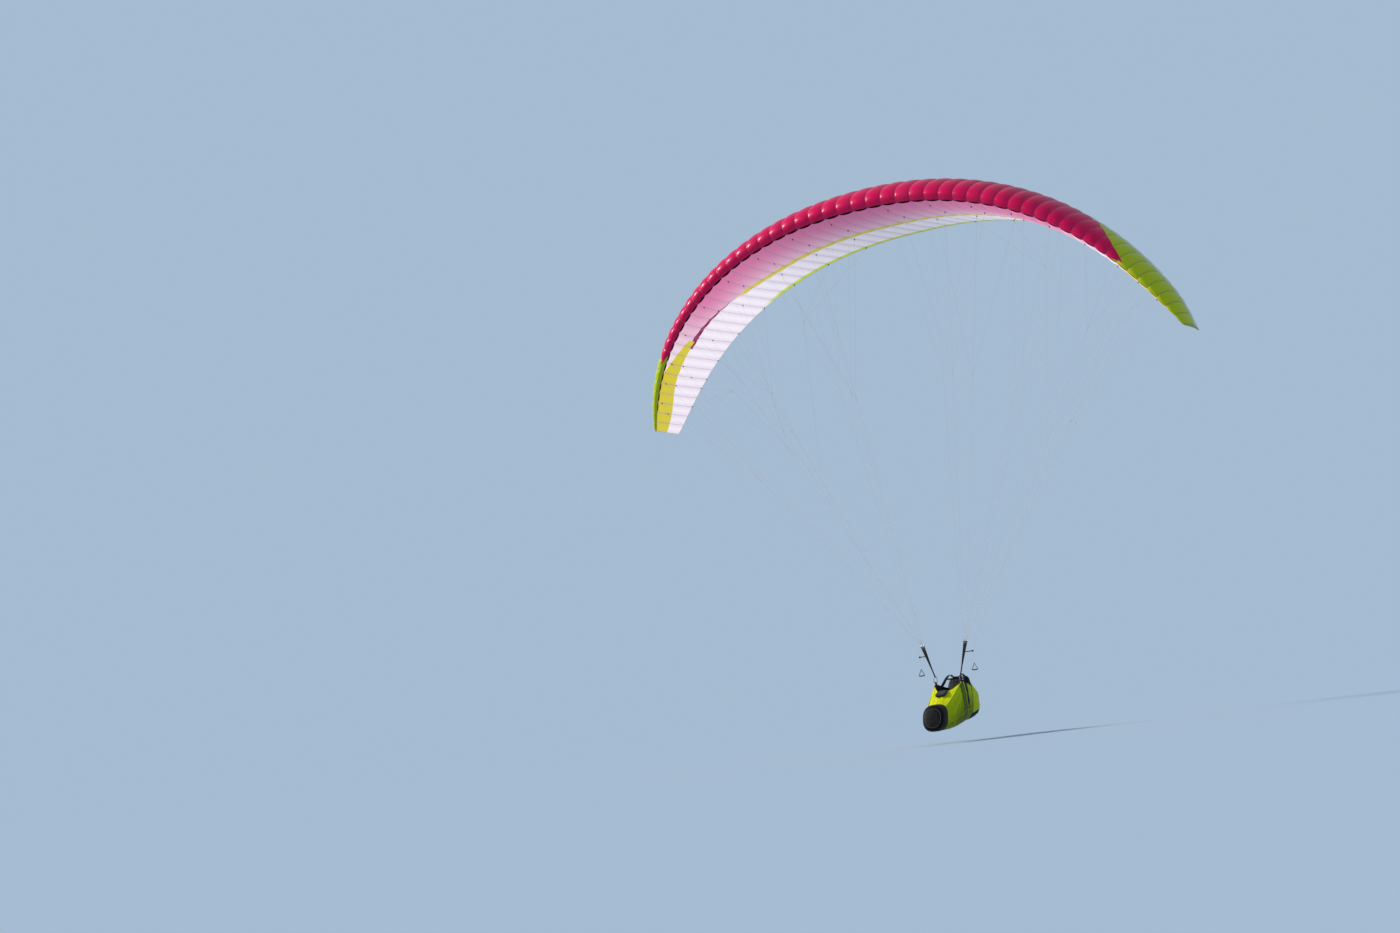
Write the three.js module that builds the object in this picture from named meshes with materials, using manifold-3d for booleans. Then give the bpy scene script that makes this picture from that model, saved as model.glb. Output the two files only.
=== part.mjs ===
// Paraglider: an arched ram-air wing, its main suspension lines, risers, brakes and pod harness.
// Millimetres. X is the flight direction, Y is to the pilot's left and Z is up.
// The origin is on the wing's root chord line, 40% of the chord behind the nose.
import * as THREE from 'three';
import { mergeVertices } from 'three/addons/utils/BufferGeometryUtils.js';
import Module from 'manifold-3d';

const wasm = await Module();
wasm.setup();

// Driving dimensions of the wing
const HALF_SPAN = 5800; // along the cloth, from the centre rib to the tip
const CELLS_PER_SIDE = 27;
const CELL_TAPER = 0.36; // how much narrower a tip cell is than a centre cell
const ROOT_CHORD = 2800;
const TIP_CHORD_RATIO = 0.28;
const CHORD_POWER = 1.5;
const TIP_SWEEP = 0.385; // how far the tip's nose lies back, in root chords
const SWEEP_POWER = 3.4;
const TIP_ANHEDRAL = 1.16; // slope of the cloth at the tip, in radians
const ANHEDRAL_POWER = 1.17;
const ORIGIN_CHORD = 0.4;
const THICKNESS = 0.18;
const CAMBER = 0.035;
const CAMBER_CHORD = 0.4;
const TIP_THINNING = 0.7;
const TIP_THINNING_START = 0.9;
const BULGE_UPPER = 0.1; // how far a cell balloons between two ribs, in cell widths
const BULGE_LOWER = 0.065;
const SEAM_GAP = 0.3;
const SEAT_GAP = 0.3; // between a piece and what carries it

// Driving dimensions of the rigging
const HANG = { x: -350, y: 225, z: -7600 }; // middle of a carabiner
const RISER_TOP = { y: 375, z: -7050 }; // lower bars of the line links
const RISER_SPREAD = 55; // between neighbouring links, fore and aft
const RISER_WIDTH = 20;
const RISER_JOINED = 130; // height over which the three straps are sewn together
const STRAP_THICK = 3.2;
const CARABINER = { inWidth: 46, barPitch: 96, bar: 11 };
const LINK = { inWidth: 26, barPitch: 30.6, bar: 4.6 };
const LINE_RADIUS = 1.2;
const LINE_SIDES = 6;
const BRAKE_Y = 465;
const PULLEY_Z = -7210;
const HANDLE = { top: -7400, height: 120, width: 110, grip: 20, depth: 22 };
const HANDLE_WEB = { neck: 7, neckLow: -14, web: 5, bevel: 6 };

// Finishes
const MAGENTA = { color: 0xa8124c, roughness: 0.55, metalness: 0 };
const LIME = { color: 0xb9cc1c, roughness: 0.55, metalness: 0 };
const WHITE = { color: 0xe9e6ea, roughness: 0.6, metalness: 0 };
const LINE_PALE = { color: 0xd9d2c0, roughness: 0.7, metalness: 0 };
const WEB_BLACK = { color: 0x17181a, roughness: 0.8, metalness: 0 };
const STEEL = { color: 0xb9bcc0, roughness: 0.3, metalness: 1 };
const ALLOY = { color: 0x3a3d42, roughness: 0.35, metalness: 1 };
const PLASTIC = { color: 0x202124, roughness: 0.5, metalness: 0 };
const BOARD = { color: 0x5a4632, roughness: 0.7, metalness: 0 };
const FOAM = { color: 0x2a2c30, roughness: 0.9, metalness: 0 };

const WELD = 1e-4; // points nearer than this are one point
const paraglider = new THREE.Group();
const harness = new THREE.Group();
harness.position.set(HANG.x, 0, HANG.z);
paraglider.add(harness);

function piece(parent, name, geometry, finish) {
  const mesh = new THREE.Mesh(geometry, new THREE.MeshStandardMaterial(finish));
  mesh.name = name;
  parent.add(mesh);
  return mesh;
}

// A closed solid through rows of points. Each row is a closed outline with the same number of points,
// in pairs: point i of the first half faces point n - 1 - i of the second half, which closes the ends.
// Facing four-sided faces are cut along parallel diagonals, so that a thin twisted wall keeps its thickness.
function loft(rows) {
  const n = rows[0].length;
  const faces = [];
  for (let r = 0; r + 1 < rows.length; r += 1) {
    for (let i = 0; i < n; i += 1) {
      const a = r * n + i;
      const b = r * n + ((i + 1) % n);
      if (i < n / 2) faces.push(a, b, b + n, a, b + n, a + n);
      else faces.push(a, b, a + n, b, b + n, a + n);
    }
  }
  const last = (rows.length - 1) * n;
  for (let i = 0; i + 1 < n / 2; i += 1) {
    const k = n - 1 - i;
    faces.push(i, k, k - 1, i, k - 1, i + 1);
    faces.push(last + i, last + i + 1, last + k - 1, last + i, last + k - 1, last + k);
  }
  return closed(rows.flat(), faces);
}

function closed(points, faces) {
  const geometry = new THREE.BufferGeometry();
  const positions = points.flatMap((p) => [p.x, p.y, p.z]);
  geometry.setAttribute('position', new THREE.Float32BufferAttribute(positions, 3));
  geometry.setIndex(faces);
  return facingOut(mergeVertices(geometry, WELD));
}

function signedVolume(geometry) {
  const p = geometry.getAttribute('position');
  const index = geometry.getIndex();
  const [a, b, c] = [new THREE.Vector3(), new THREE.Vector3(), new THREE.Vector3()];
  let sum = 0;
  for (let i = 0; i < index.count; i += 3) {
    a.fromBufferAttribute(p, index.getX(i));
    b.fromBufferAttribute(p, index.getX(i + 1));
    c.fromBufferAttribute(p, index.getX(i + 2));
    sum += a.dot(b.cross(c)) / 6;
  }
  return sum;
}

function facingOut(geometry) {
  const index = geometry.getIndex();
  const kept = [];
  const turned = signedVolume(geometry) < 0;
  for (let i = 0; i < index.count; i += 3) {
    const [a, b, c] = [index.getX(i), index.getX(i + 1), index.getX(i + 2)];
    if (a !== b && b !== c && c !== a) kept.push(a, turned ? c : b, turned ? b : c);
  }
  geometry.setIndex(kept);
  return geometry;
}

// An outline drawn in X and Z, made wide across Y
function wideShape(shape, width) {
  const geometry = new THREE.ExtrudeGeometry(shape, { depth: width, bevelEnabled: false });
  geometry.translate(0, 0, -width / 2);
  geometry.rotateX(Math.PI / 2);
  return bare(geometry);
}

function bare(geometry) {
  geometry.deleteAttribute('normal');
  geometry.deleteAttribute('uv');
  return mergeVertices(geometry, WELD);
}

function toSolid(geometry) {
  const vertProperties = new Float32Array(geometry.getAttribute('position').array);
  const triVerts = new Uint32Array(geometry.getIndex().array);
  return new wasm.Manifold(new wasm.Mesh({ numProp: 3, vertProperties, triVerts }));
}

function fromSolid(solid) {
  const mesh = solid.getMesh();
  const geometry = new THREE.BufferGeometry();
  geometry.setAttribute('position', new THREE.BufferAttribute(new Float32Array(mesh.vertProperties), 3));
  geometry.setIndex(Array.from(mesh.triVerts));
  return geometry;
}

function join(...geometries) {
  return fromSolid(geometries.map(toSolid).reduce((whole, next) => whole.add(next)));
}

// The wing's cloth. Ribs count from 0 at the centre to 27 at the left tip, and are negative on the right.
const CENTRE_CELL = HALF_SPAN / (CELLS_PER_SIDE * (1 - CELL_TAPER / 2));
const ARC_STEPS = 200;
const CHORD_STATIONS = [0, 0.015, 0.05, 0.1, 0.2, 0.32, 0.46, 0.6, 0.8, 1];
const ROW_CHORD = { A: 0.1, B: 0.32, C: 0.6, brake: 0.985 };
const BULGE_FADE = 0.4; // the cells flatten over this last share of the chord

function clothRun(rib) {
  const a = Math.abs(rib);
  return CENTRE_CELL * (a - (CELL_TAPER * a * a) / (2 * CELLS_PER_SIDE));
}

function anhedral(fraction) {
  return TIP_ANHEDRAL * fraction ** ANHEDRAL_POWER;
}

// Where a rib stands: its place on the arch, its slope, chord, nose and thickness
function ribPlace(rib) {
  const run = clothRun(rib);
  const step = run / ARC_STEPS;
  let y = 0;
  let z = 0;
  for (let i = 0; i < ARC_STEPS; i += 1) {
    const slope = anhedral(((i + 0.5) * step) / HALF_SPAN);
    y += Math.cos(slope) * step;
    z -= Math.sin(slope) * step;
  }
  const s = Math.min(run / HALF_SPAN, 1);
  const chord = ROOT_CHORD * Math.sqrt(1 - (1 - TIP_CHORD_RATIO ** 2) * s ** CHORD_POWER);
  const nose = ROOT_CHORD * (ORIGIN_CHORD - TIP_SWEEP * s ** SWEEP_POWER);
  const late = Math.max(0, (s - TIP_THINNING_START) / (1 - TIP_THINNING_START));
  const thickness = THICKNESS * (1 - TIP_THINNING * late * late);
  const width = CENTRE_CELL * (1 - (CELL_TAPER * Math.abs(rib)) / CELLS_PER_SIDE);
  return { side: rib < 0 ? -1 : 1, y, z, slope: anhedral(s), chord, nose, thickness, width };
}

// Height of the upper or lower skin over the chord line, in chords
function skinHeight(x, thickness, upper) {
  const half = 5 * thickness
    * (0.2969 * Math.sqrt(x) - 0.126 * x - 0.3516 * x ** 2 + 0.2843 * x ** 3 - 0.1036 * x ** 4);
  const mean = x < CAMBER_CHORD
    ? (CAMBER * (2 * CAMBER_CHORD * x - x * x)) / CAMBER_CHORD ** 2
    : (CAMBER * (1 - 2 * CAMBER_CHORD + 2 * CAMBER_CHORD * x - x * x)) / (1 - CAMBER_CHORD) ** 2;
  return mean + (upper ? half : -half);
}

// A point of a skin: bulge is how far the cell balloons there, from 0 at a rib to 1 between two ribs
function skinPoint(place, x, upper, bulge = 0) {
  const e = 1e-3;
  const x0 = Math.max(x - e, 0);
  const x1 = Math.min(x + e, 1);
  const rise = skinHeight(x1, place.thickness, upper) - skinHeight(x0, place.thickness, upper);
  const tangent = new THREE.Vector2(x1 - x0, rise).normalize();
  const outward = x === 0 ? new THREE.Vector2(-1, 0) : new THREE.Vector2(-tangent.y, tangent.x);
  if (!upper && x > 0) outward.negate();
  const fade = Math.min(1, (1 - x) / BULGE_FADE);
  const depth = x === 0 ? (BULGE_UPPER + BULGE_LOWER) / 2 : upper ? BULGE_UPPER : BULGE_LOWER;
  const out = bulge * depth * place.width * fade;
  const back = place.chord * x + outward.x * out;
  const height = place.chord * skinHeight(x, place.thickness, upper) + outward.y * out;
  return new THREE.Vector3(
    place.nose - back,
    place.side * (place.y + Math.sin(place.slope) * height),
    place.z + Math.cos(place.slope) * height,
  );
}

// The closed outline of the wing at a rib: back along the upper skin, then forward along the lower one
function wingOutline(rib, shift, bulge) {
  const place = ribPlace(rib);
  const upper = CHORD_STATIONS.map((x) => skinPoint(place, x, true, bulge));
  const lower = CHORD_STATIONS.slice(1, -1).reverse().map((x) => skinPoint(place, x, false, bulge));
  const along = new THREE.Vector3(0, Math.cos(place.slope), -place.side * Math.sin(place.slope));
  return [...upper, ...lower].map((p) => p.addScaledVector(along, shift));
}

function wingSection(from, to) {
  const rows = [];
  for (let half = 2 * from; half <= 2 * to; half += 1) {
    const rib = half / 2;
    const ends = rib === from ? SEAM_GAP / 2 : rib === to ? -SEAM_GAP / 2 : 0;
    rows.push(wingOutline(rib, ends, half % 2 === 0 ? 0 : 1));
  }
  return wingLoft(rows);
}

// As loft, but an end is closed from the nose to the trailing edge, pair by pair
function wingLoft(rows) {
  const n = rows[0].length;
  const faces = [];
  for (let r = 0; r + 1 < rows.length; r += 1) {
    for (let i = 0; i < n; i += 1) {
      const a = r * n + i;
      const b = r * n + ((i + 1) % n);
      faces.push(a, b, b + n, a, b + n, a + n);
    }
  }
  const last = (rows.length - 1) * n;
  for (let i = 0; i < n / 2; i += 1) {
    const low = (n - i) % n;
    const behind = n - 1 - i;
    faces.push(i, low, behind, i, behind, i + 1);
    faces.push(last + i, last + i + 1, last + behind, last + i, last + behind, last + low);
  }
  return closed(rows.flat(), faces);
}

const SECTIONS = [
  { name: 'canopy_center', from: -3, to: 3, finish: MAGENTA },
  { name: 'canopy_inner_left', from: 3, to: 11, finish: WHITE },
  { name: 'canopy_outer_left', from: 11, to: 19, finish: WHITE },
  { name: 'canopy_tip_left', from: 19, to: 27, finish: LIME },
  { name: 'canopy_inner_right', from: -11, to: -3, finish: WHITE },
  { name: 'canopy_outer_right', from: -19, to: -11, finish: WHITE },
  { name: 'canopy_tip_right', from: -27, to: -19, finish: LIME },
];
for (const section of SECTIONS) {
  piece(paraglider, section.name, wingSection(section.from, section.to), section.finish);
}

// Risers: three straps sewn together at the bottom, each with an eye for its line link
const SIDES = [{ name: 'left', side: 1 }, { name: 'right', side: -1 }];
const LINK_ROWS = [{ row: 'A', x: RISER_SPREAD }, { row: 'B', x: 0 }, { row: 'C', x: -RISER_SPREAD }];
const UPPER_BAR = CARABINER.barPitch / 2; // above the carabiner's middle
const RISER_HEIGHT = RISER_TOP.z - (HANG.z + UPPER_BAR);
const RISER_LEAN = (RISER_TOP.y - HANG.y) / RISER_HEIGHT;
const EYE_SIDES = 8;
const EYE_MOUTH = 0.2 * Math.PI; // half the angle over which an eye opens into its strap

// An octagon of which a flat, not a corner, faces each corner of the square bar inside it
function eyeHole(x, z, bar) {
  const flat = (bar / 2) * Math.SQRT2 + SEAT_GAP;
  const radius = flat / Math.cos(Math.PI / EYE_SIDES);
  const points = [];
  for (let i = 0; i < EYE_SIDES; i += 1) {
    const angle = ((i + 0.5) * 2 * Math.PI) / EYE_SIDES;
    points.push(new THREE.Vector2(x + radius * Math.cos(angle), z + radius * Math.sin(angle)));
  }
  return new THREE.Path(points);
}

const UPWARDS = Math.PI / 2;
const DOWNWARDS = -Math.PI / 2;

function eyeRadius(bar) {
  return (bar / 2) * Math.SQRT2 + SEAT_GAP + STRAP_THICK;
}

// The points of an eye's outside, walked round from one side of its strap to the other.
// toStrap is the direction in which the strap leaves the eye.
function eyeOutline(x, z, radius, toStrap) {
  const points = [];
  for (let i = 0; i <= EYE_SIDES; i += 1) {
    const angle = toStrap + EYE_MOUTH + (i * 2 * (Math.PI - EYE_MOUTH)) / EYE_SIDES;
    points.push(new THREE.Vector2(x + radius * Math.cos(angle), z + radius * Math.sin(angle)));
  }
  return points;
}

function riserShape() {
  const points = [new THREE.Vector2(1.5 * STRAP_THICK, RISER_JOINED)];
  for (const [i, link] of LINK_ROWS.entries()) {
    points.push(...eyeOutline(link.x, RISER_HEIGHT, eyeRadius(LINK.bar), DOWNWARDS));
    points.push(new THREE.Vector2((0.5 - i) * STRAP_THICK, RISER_JOINED));
  }
  points.push(...eyeOutline(0, 0, eyeRadius(CARABINER.bar), UPWARDS));
  const shape = new THREE.Shape(points);
  shape.holes.push(eyeHole(0, 0, CARABINER.bar));
  for (const link of LINK_ROWS) shape.holes.push(eyeHole(link.x, RISER_HEIGHT, LINK.bar));
  return shape;
}

// A closed ring of square bar in the Y and Z plane, its corners cut
const RING_CORNER = { outer: 0.9, inner: 0.6 }; // outer in bar thicknesses, inner in millimetres

function barRing({ inWidth, barPitch, bar }) {
  const ringPoints = (halfY, halfZ, corner) => [
    [halfY - corner, -halfZ], [halfY, -halfZ + corner], [halfY, halfZ - corner], [halfY - corner, halfZ],
    [-halfY + corner, halfZ], [-halfY, halfZ - corner], [-halfY, -halfZ + corner], [-halfY + corner, -halfZ],
  ].map(([y, z]) => new THREE.Vector2(y, z));
  const cut = RING_CORNER.outer * bar;
  const shape = new THREE.Shape(ringPoints(inWidth / 2 + bar, (barPitch + bar) / 2, cut));
  shape.holes.push(new THREE.Path(ringPoints(inWidth / 2, (barPitch - bar) / 2, RING_CORNER.inner)));
  const geometry = new THREE.ExtrudeGeometry(shape, { depth: bar, bevelEnabled: false });
  geometry.translate(0, 0, -bar / 2);
  const turn = new THREE.Matrix4().makeBasis(
    new THREE.Vector3(0, 1, 0),
    new THREE.Vector3(0, 0, 1),
    new THREE.Vector3(1, 0, 0),
  );
  geometry.applyMatrix4(turn);
  return bare(geometry);
}

// A straight line from a seat below to a seat above. Both ends stop short of their seats by the seat gap.
function tautLine(from, to, fromNormal, toNormal) {
  const along = to.clone().sub(from).normalize();
  const short = (normal) => {
    const square = Math.abs(along.dot(normal));
    return (SEAT_GAP + LINE_RADIUS * Math.sqrt(1 - square * square)) / square;
  };
  const start = from.clone().addScaledVector(along, short(fromNormal));
  const end = to.clone().addScaledVector(along, -short(toNormal));
  const geometry = new THREE.CylinderGeometry(LINE_RADIUS, LINE_RADIUS, start.distanceTo(end), LINE_SIDES);
  geometry.applyQuaternion(new THREE.Quaternion().setFromUnitVectors(new THREE.Vector3(0, 1, 0), along));
  const middle = start.clone().add(end).multiplyScalar(0.5);
  geometry.translate(middle.x, middle.y, middle.z);
  return bare(geometry);
}

// Which rib each main line runs to, and where it leaves its link across the link's bar
const MAIN_LINES = [
  { name: 'A1', row: 'A', rib: 5, across: -7 },
  { name: 'A2', row: 'A', rib: 14, across: 0 },
  { name: 'A3', row: 'A', rib: 22, across: 7 },
  { name: 'B1', row: 'B', rib: 5, across: -7 },
  { name: 'B2', row: 'B', rib: 14, across: 0 },
  { name: 'B3', row: 'B', rib: 22, across: 7 },
  { name: 'C1', row: 'C', rib: 6, across: -5 },
  { name: 'C2', row: 'C', rib: 17, across: 5 },
];
const BRAKE_RIB = 16;
const UP = new THREE.Vector3(0, 0, 1);

function skinNormal(rib, x) {
  const here = skinPoint(ribPlace(rib), x, false);
  const behind = skinPoint(ribPlace(rib), x + 0.01, false);
  const beside = skinPoint(ribPlace(rib + 0.1), x, false);
  return behind.sub(here).cross(beside.sub(here)).normalize();
}

const LINK_TOP = RISER_TOP.z + LINK.barPitch + LINK.bar / 2;
const PULLEY = { height: 36, width: 30, thick: 14, sides: 12, tab: 14, tabInside: 2 };

for (const { name: sideName, side } of SIDES) {
  // the riser leans outwards without turning, so that its eyes stay in line with their bars
  const lean = new THREE.Matrix4().set(1, 0, 0, 0, 0, 1, side * RISER_LEAN, 0, 0, 0, 1, 0, 0, 0, 0, 1);
  const riser = wideShape(riserShape(), RISER_WIDTH);
  riser.applyMatrix4(lean);
  piece(paraglider, `riser_${sideName}`, riser, WEB_BLACK)
    .position.set(HANG.x, side * HANG.y, HANG.z + UPPER_BAR);
  piece(paraglider, `carabiner_${sideName}`, barRing(CARABINER), ALLOY)
    .position.set(HANG.x, side * HANG.y, HANG.z);
  for (const link of LINK_ROWS) {
    piece(paraglider, `line_link_${link.row}_${sideName}`, barRing(LINK), STEEL)
      .position.set(HANG.x + link.x, side * RISER_TOP.y, RISER_TOP.z + LINK.barPitch / 2);
  }
  for (const line of MAIN_LINES) {
    const link = LINK_ROWS.find((row) => row.row === line.row);
    const from = new THREE.Vector3(HANG.x + link.x, side * (RISER_TOP.y + line.across), LINK_TOP);
    const rib = side * line.rib;
    const to = skinPoint(ribPlace(rib), ROW_CHORD[line.row], false);
    const normal = skinNormal(rib, ROW_CHORD[line.row]);
    piece(paraglider, `line_${line.name}_${sideName}`, tautLine(from, to, UP, normal), LINE_PALE);
  }
  addBrake(sideName, side);
}

// Brake: a pulley standing off the rear strap, the line above it to the trailing edge, the line below it
// and the handle
function addBrake(sideName, side) {
  const share = (PULLEY_Z - HANG.z - UPPER_BAR) / RISER_HEIGHT;
  const strapStart = HANG.y + share * (RISER_TOP.y - HANG.y) + RISER_WIDTH / 2;
  const tabStart = strapStart + (PULLEY.tab / 2) * RISER_LEAN + SEAT_GAP;
  const climb = (PULLEY_Z - HANG.z - UPPER_BAR - RISER_JOINED) / (RISER_HEIGHT - RISER_JOINED);
  const tabX = HANG.x - STRAP_THICK - climb * (RISER_SPREAD - STRAP_THICK);
  const tabEnd = BRAKE_Y - PULLEY.width / 2 + PULLEY.tabInside;
  const tab = new THREE.BoxGeometry(STRAP_THICK, tabEnd - tabStart, PULLEY.tab);
  tab.translate(tabX, side * (tabStart + tabEnd) / 2, PULLEY_Z);
  const block = new THREE.CylinderGeometry(PULLEY.width / 2, PULLEY.width / 2, PULLEY.thick, PULLEY.sides);
  block.rotateZ(Math.PI / 2);
  block.scale(1, 1, PULLEY.height / PULLEY.width);
  block.translate(tabX, side * BRAKE_Y, PULLEY_Z);
  piece(paraglider, `brake_pulley_${sideName}`, join(bare(tab), bare(block)), PLASTIC);
  const blockTop = new THREE.Vector3(tabX, side * BRAKE_Y, PULLEY_Z + PULLEY.height / 2);
  const rib = side * BRAKE_RIB;
  const edge = skinPoint(ribPlace(rib), ROW_CHORD.brake, false);
  const normal = skinNormal(rib, ROW_CHORD.brake);
  piece(paraglider, `line_brake_${sideName}`, tautLine(blockTop, edge, UP, normal), LINE_PALE);
  const handleTop = new THREE.Vector3(tabX, side * BRAKE_Y, HANDLE.top);
  const blockLow = new THREE.Vector3(tabX, side * BRAKE_Y, PULLEY_Z - PULLEY.height / 2);
  piece(paraglider, `brake_line_low_${sideName}`, tautLine(handleTop, blockLow, UP, UP), LINE_PALE);
  piece(paraglider, `brake_handle_${sideName}`, wideShape(handleShape(), HANDLE.depth), WEB_BLACK)
    .position.set(tabX, side * BRAKE_Y, HANDLE.top);
}

// A three-cornered webbing loop with a padded grip along its bottom
function handleShape() {
  const { neck, neckLow, web, bevel } = HANDLE_WEB;
  const half = HANDLE.width / 2;
  const low = -HANDLE.height;
  const gripTop = low + HANDLE.grip;
  const outline = (points) => points.map(([x, z]) => new THREE.Vector2(x, z));
  const shape = new THREE.Shape(outline([
    [-neck, 0], [-neck, neckLow], [-half, gripTop], [bevel - half, low],
    [half - bevel, low], [half, gripTop], [neck, neckLow], [neck, 0],
  ]));
  shape.holes.push(new THREE.Path(outline([
    [0, neckLow - 2 * web], [2 * web - half, gripTop + web], [2.4 * web - half, gripTop],
    [half - 2.4 * web, gripTop], [half - 2 * web, gripTop + web],
  ])));
  return shape;
}

// The pod harness, measured from the middle between the two carabiners.
// x: place along the pod, half: greatest half width, low: bottom, rim: height of the open edge,
// rimHalf: half width at the open edge
const POD = [
  { x: -330, half: 226, low: -690, rim: -150, rimHalf: 202 },
  { x: -240, half: 248, low: -700, rim: -115, rimHalf: 226 },
  { x: -110, half: 262, low: -728, rim: -88, rimHalf: 234 },
  { x: 10, half: 264, low: -748, rim: -75, rimHalf: 229 },
  { x: 120, half: 260, low: -768, rim: -130, rimHalf: 220 },
  { x: 330, half: 240, low: -792, rim: -262, rimHalf: 196 },
  { x: 500, half: 215, low: -800, rim: -362, rimHalf: 172 },
  { x: 650, half: 190, low: -796, rim: -440, rimHalf: 150 },
];
const POD_WALL = 12;
const FOOT_TILT = 0.25; // how far the foot end leans back, per unit of height
const FOOT_MIDDLE = -612;
const FOOT_TILT_FROM = 250;
const BELLY = 0.48; // height of the widest place, from the bottom to the open edge
const SHOULDER_OUT = 8; // how far the side swells over the straight line from edge to belly
const ROUNDNESS = 0.8; // 1 is an ellipse, less is squarer
const QUARTER_STEPS = 4;
const POD_FRONT = POD[POD.length - 1].x;

// Leans a point of the pod's front back, the more the nearer it is to the foot end
function leaned(p) {
  const share = Math.min(1, Math.max(0, (p.x - FOOT_TILT_FROM) / (POD_FRONT - FOOT_TILT_FROM)));
  return new THREE.Vector3(p.x - share * FOOT_TILT * (p.z - FOOT_MIDDLE), p.y, p.z);
}

// Half of the pod's section, from its edge down to the middle of its bottom
function podHalf(station, inset) {
  const half = station.half - inset;
  const low = station.low + inset;
  const rimHalf = station.rimHalf - inset;
  const belly = station.low + (station.rim - station.low) * BELLY;
  const points = [[rimHalf, station.rim], [(rimHalf + half) / 2 + SHOULDER_OUT, (station.rim + belly) / 2]];
  for (let i = 0; i < QUARTER_STEPS; i += 1) {
    const angle = (i * Math.PI) / 2 / QUARTER_STEPS;
    points.push([half * Math.cos(angle) ** ROUNDNESS, belly - (belly - low) * Math.sin(angle) ** ROUNDNESS]);
  }
  return [...points, [0, low]];
}

// The stiff back behind the seat leans back. This is its front face at a height.
const BACK = { x: -290, z: -640, lean: 0.235, pad: 34, shell: 8 };

function backPlane(z) {
  return BACK.x - BACK.lean * (z - BACK.z);
}

function podRow(station, index) {
  const outer = podHalf(station, 0);
  const inner = podHalf(station, POD_WALL);
  const across = (half) => [
    ...half.map(([y, z]) => [y, z]),
    ...half.slice(0, -1).reverse().map(([y, z]) => [-y, z]),
  ];
  const loop = [...across(outer), ...across(inner).reverse()];
  const xAt = (z) => (index === 0 ? backPlane(z) + SEAT_GAP : station.x);
  return loop.map(([y, z]) => leaned(new THREE.Vector3(xAt(z), y, z)));
}
piece(harness, 'pod_hull', loft(POD.map(podRow)), LIME);

// Leg cover: an arch of cloth between the pod's edges, cut back in a V towards the pilot
const COVER = [
  { x: 60, rise: 26, cut: 250 },
  { x: 120, rise: 30, cut: 220 },
  { x: 330, rise: 36, cut: 110 },
  { x: 500, rise: 40, cut: 40 },
  { x: 650, rise: 42, cut: 0 },
];
const COVER_THICK = 10;
const COVER_STEPS = 8;

function podAt(x) {
  const next = POD.findIndex((station) => station.x >= x);
  const [a, b] = [POD[Math.max(next - 1, 0)], POD[next]];
  const t = b.x === a.x ? 0 : (x - a.x) / (b.x - a.x);
  const mix = (key) => a[key] + (b[key] - a[key]) * t;
  return { x, half: mix('half'), low: mix('low'), rim: mix('rim'), rimHalf: mix('rimHalf') };
}

function coverRow(row) {
  const points = [];
  const arch = (drop) => {
    const side = [];
    for (let i = 0; i <= COVER_STEPS; i += 1) {
      const u = 1 - (2 * i) / COVER_STEPS;
      const swell = 1 - u * u;
      const x = Math.min(row.x + row.cut * swell, POD_FRONT);
      const edge = podAt(x);
      const y = u * (edge.rimHalf - drop);
      side.push([x, y, edge.rim + SEAT_GAP + (row.rise - drop) * swell]);
    }
    return side;
  };
  points.push(...arch(0), ...arch(COVER_THICK).reverse());
  return points.map(([x, y, z]) => leaned(new THREE.Vector3(x, y, z)));
}
piece(harness, 'leg_cover', loft(COVER.map(coverRow)), LIME);

// A rounded outline across the pod: half is its half width, low and high are its ends in height
function roundedOutline({ half, low, high }, sides, roundness) {
  const points = [];
  for (let i = 0; i < sides; i += 1) {
    const angle = (i * 2 * Math.PI) / sides;
    const [c, s] = [Math.cos(angle), Math.sin(angle)];
    points.push({
      y: half * Math.sign(c) * Math.abs(c) ** roundness,
      z: (low + high) / 2 + ((high - low) / 2) * Math.sign(s) * Math.abs(s) ** roundness,
    });
  }
  return points;
}

// Foot cap: a deep cup over the pod's foot end, squarer at its rim than at its padded nose. The pad's
// brow, cheek and back are places behind the nose.
const CAP = { depth: 150, half: 196, low: -806, high: -392, wall: 12, sides: 24 };
const CAP_ROUNDNESS = { rim: 0.7, nose: 0.86 };
const CAP_PAD = { brow: 8, cheek: 30, back: 62 };
const CAP_MIDDLE = (CAP.low + CAP.high) / 2;
const CAP_BACK = POD_FRONT + SEAT_GAP;
const CAP_FRONT = POD_FRONT + CAP.depth;

function capRow(x, inset, shrink) {
  const forward = (x - CAP_BACK) / (CAP_FRONT - CAP_BACK);
  const roundness = CAP_ROUNDNESS.rim + (CAP_ROUNDNESS.nose - CAP_ROUNDNESS.rim) * forward;
  const half = (CAP.half - inset) * shrink;
  const tall = ((CAP.high - CAP.low) / 2 - inset) * shrink;
  const size = { half, low: CAP_MIDDLE - tall, high: CAP_MIDDLE + tall };
  return roundedOutline(size, CAP.sides, roundness).map(({ y, z }) => leaned(new THREE.Vector3(x, y, z)));
}

// A cup: rows from the outer nose back to the rim, and forward again inside, both ends closed by a fan
function cup(rows) {
  const n = rows[0].length;
  const positions = rows.flat();
  const faces = [];
  for (let r = 0; r + 1 < rows.length; r += 1) {
    for (let i = 0; i < n; i += 1) {
      const a = r * n + i;
      const b = r * n + ((i + 1) % n);
      faces.push(a, b, b + n, a, b + n, a + n);
    }
  }
  const closeEnd = (first, flip) => {
    const centre = new THREE.Vector3();
    for (let i = 0; i < n; i += 1) centre.addScaledVector(positions[first + i], 1 / n);
    positions.push(centre);
    const c = positions.length - 1;
    for (let i = 0; i < n; i += 1) {
      const [a, b] = [first + i, first + ((i + 1) % n)];
      faces.push(c, flip ? b : a, flip ? a : b);
    }
  };
  closeEnd(0, true);
  closeEnd((rows.length - 1) * n, false);
  return closed(positions, faces);
}
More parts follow.
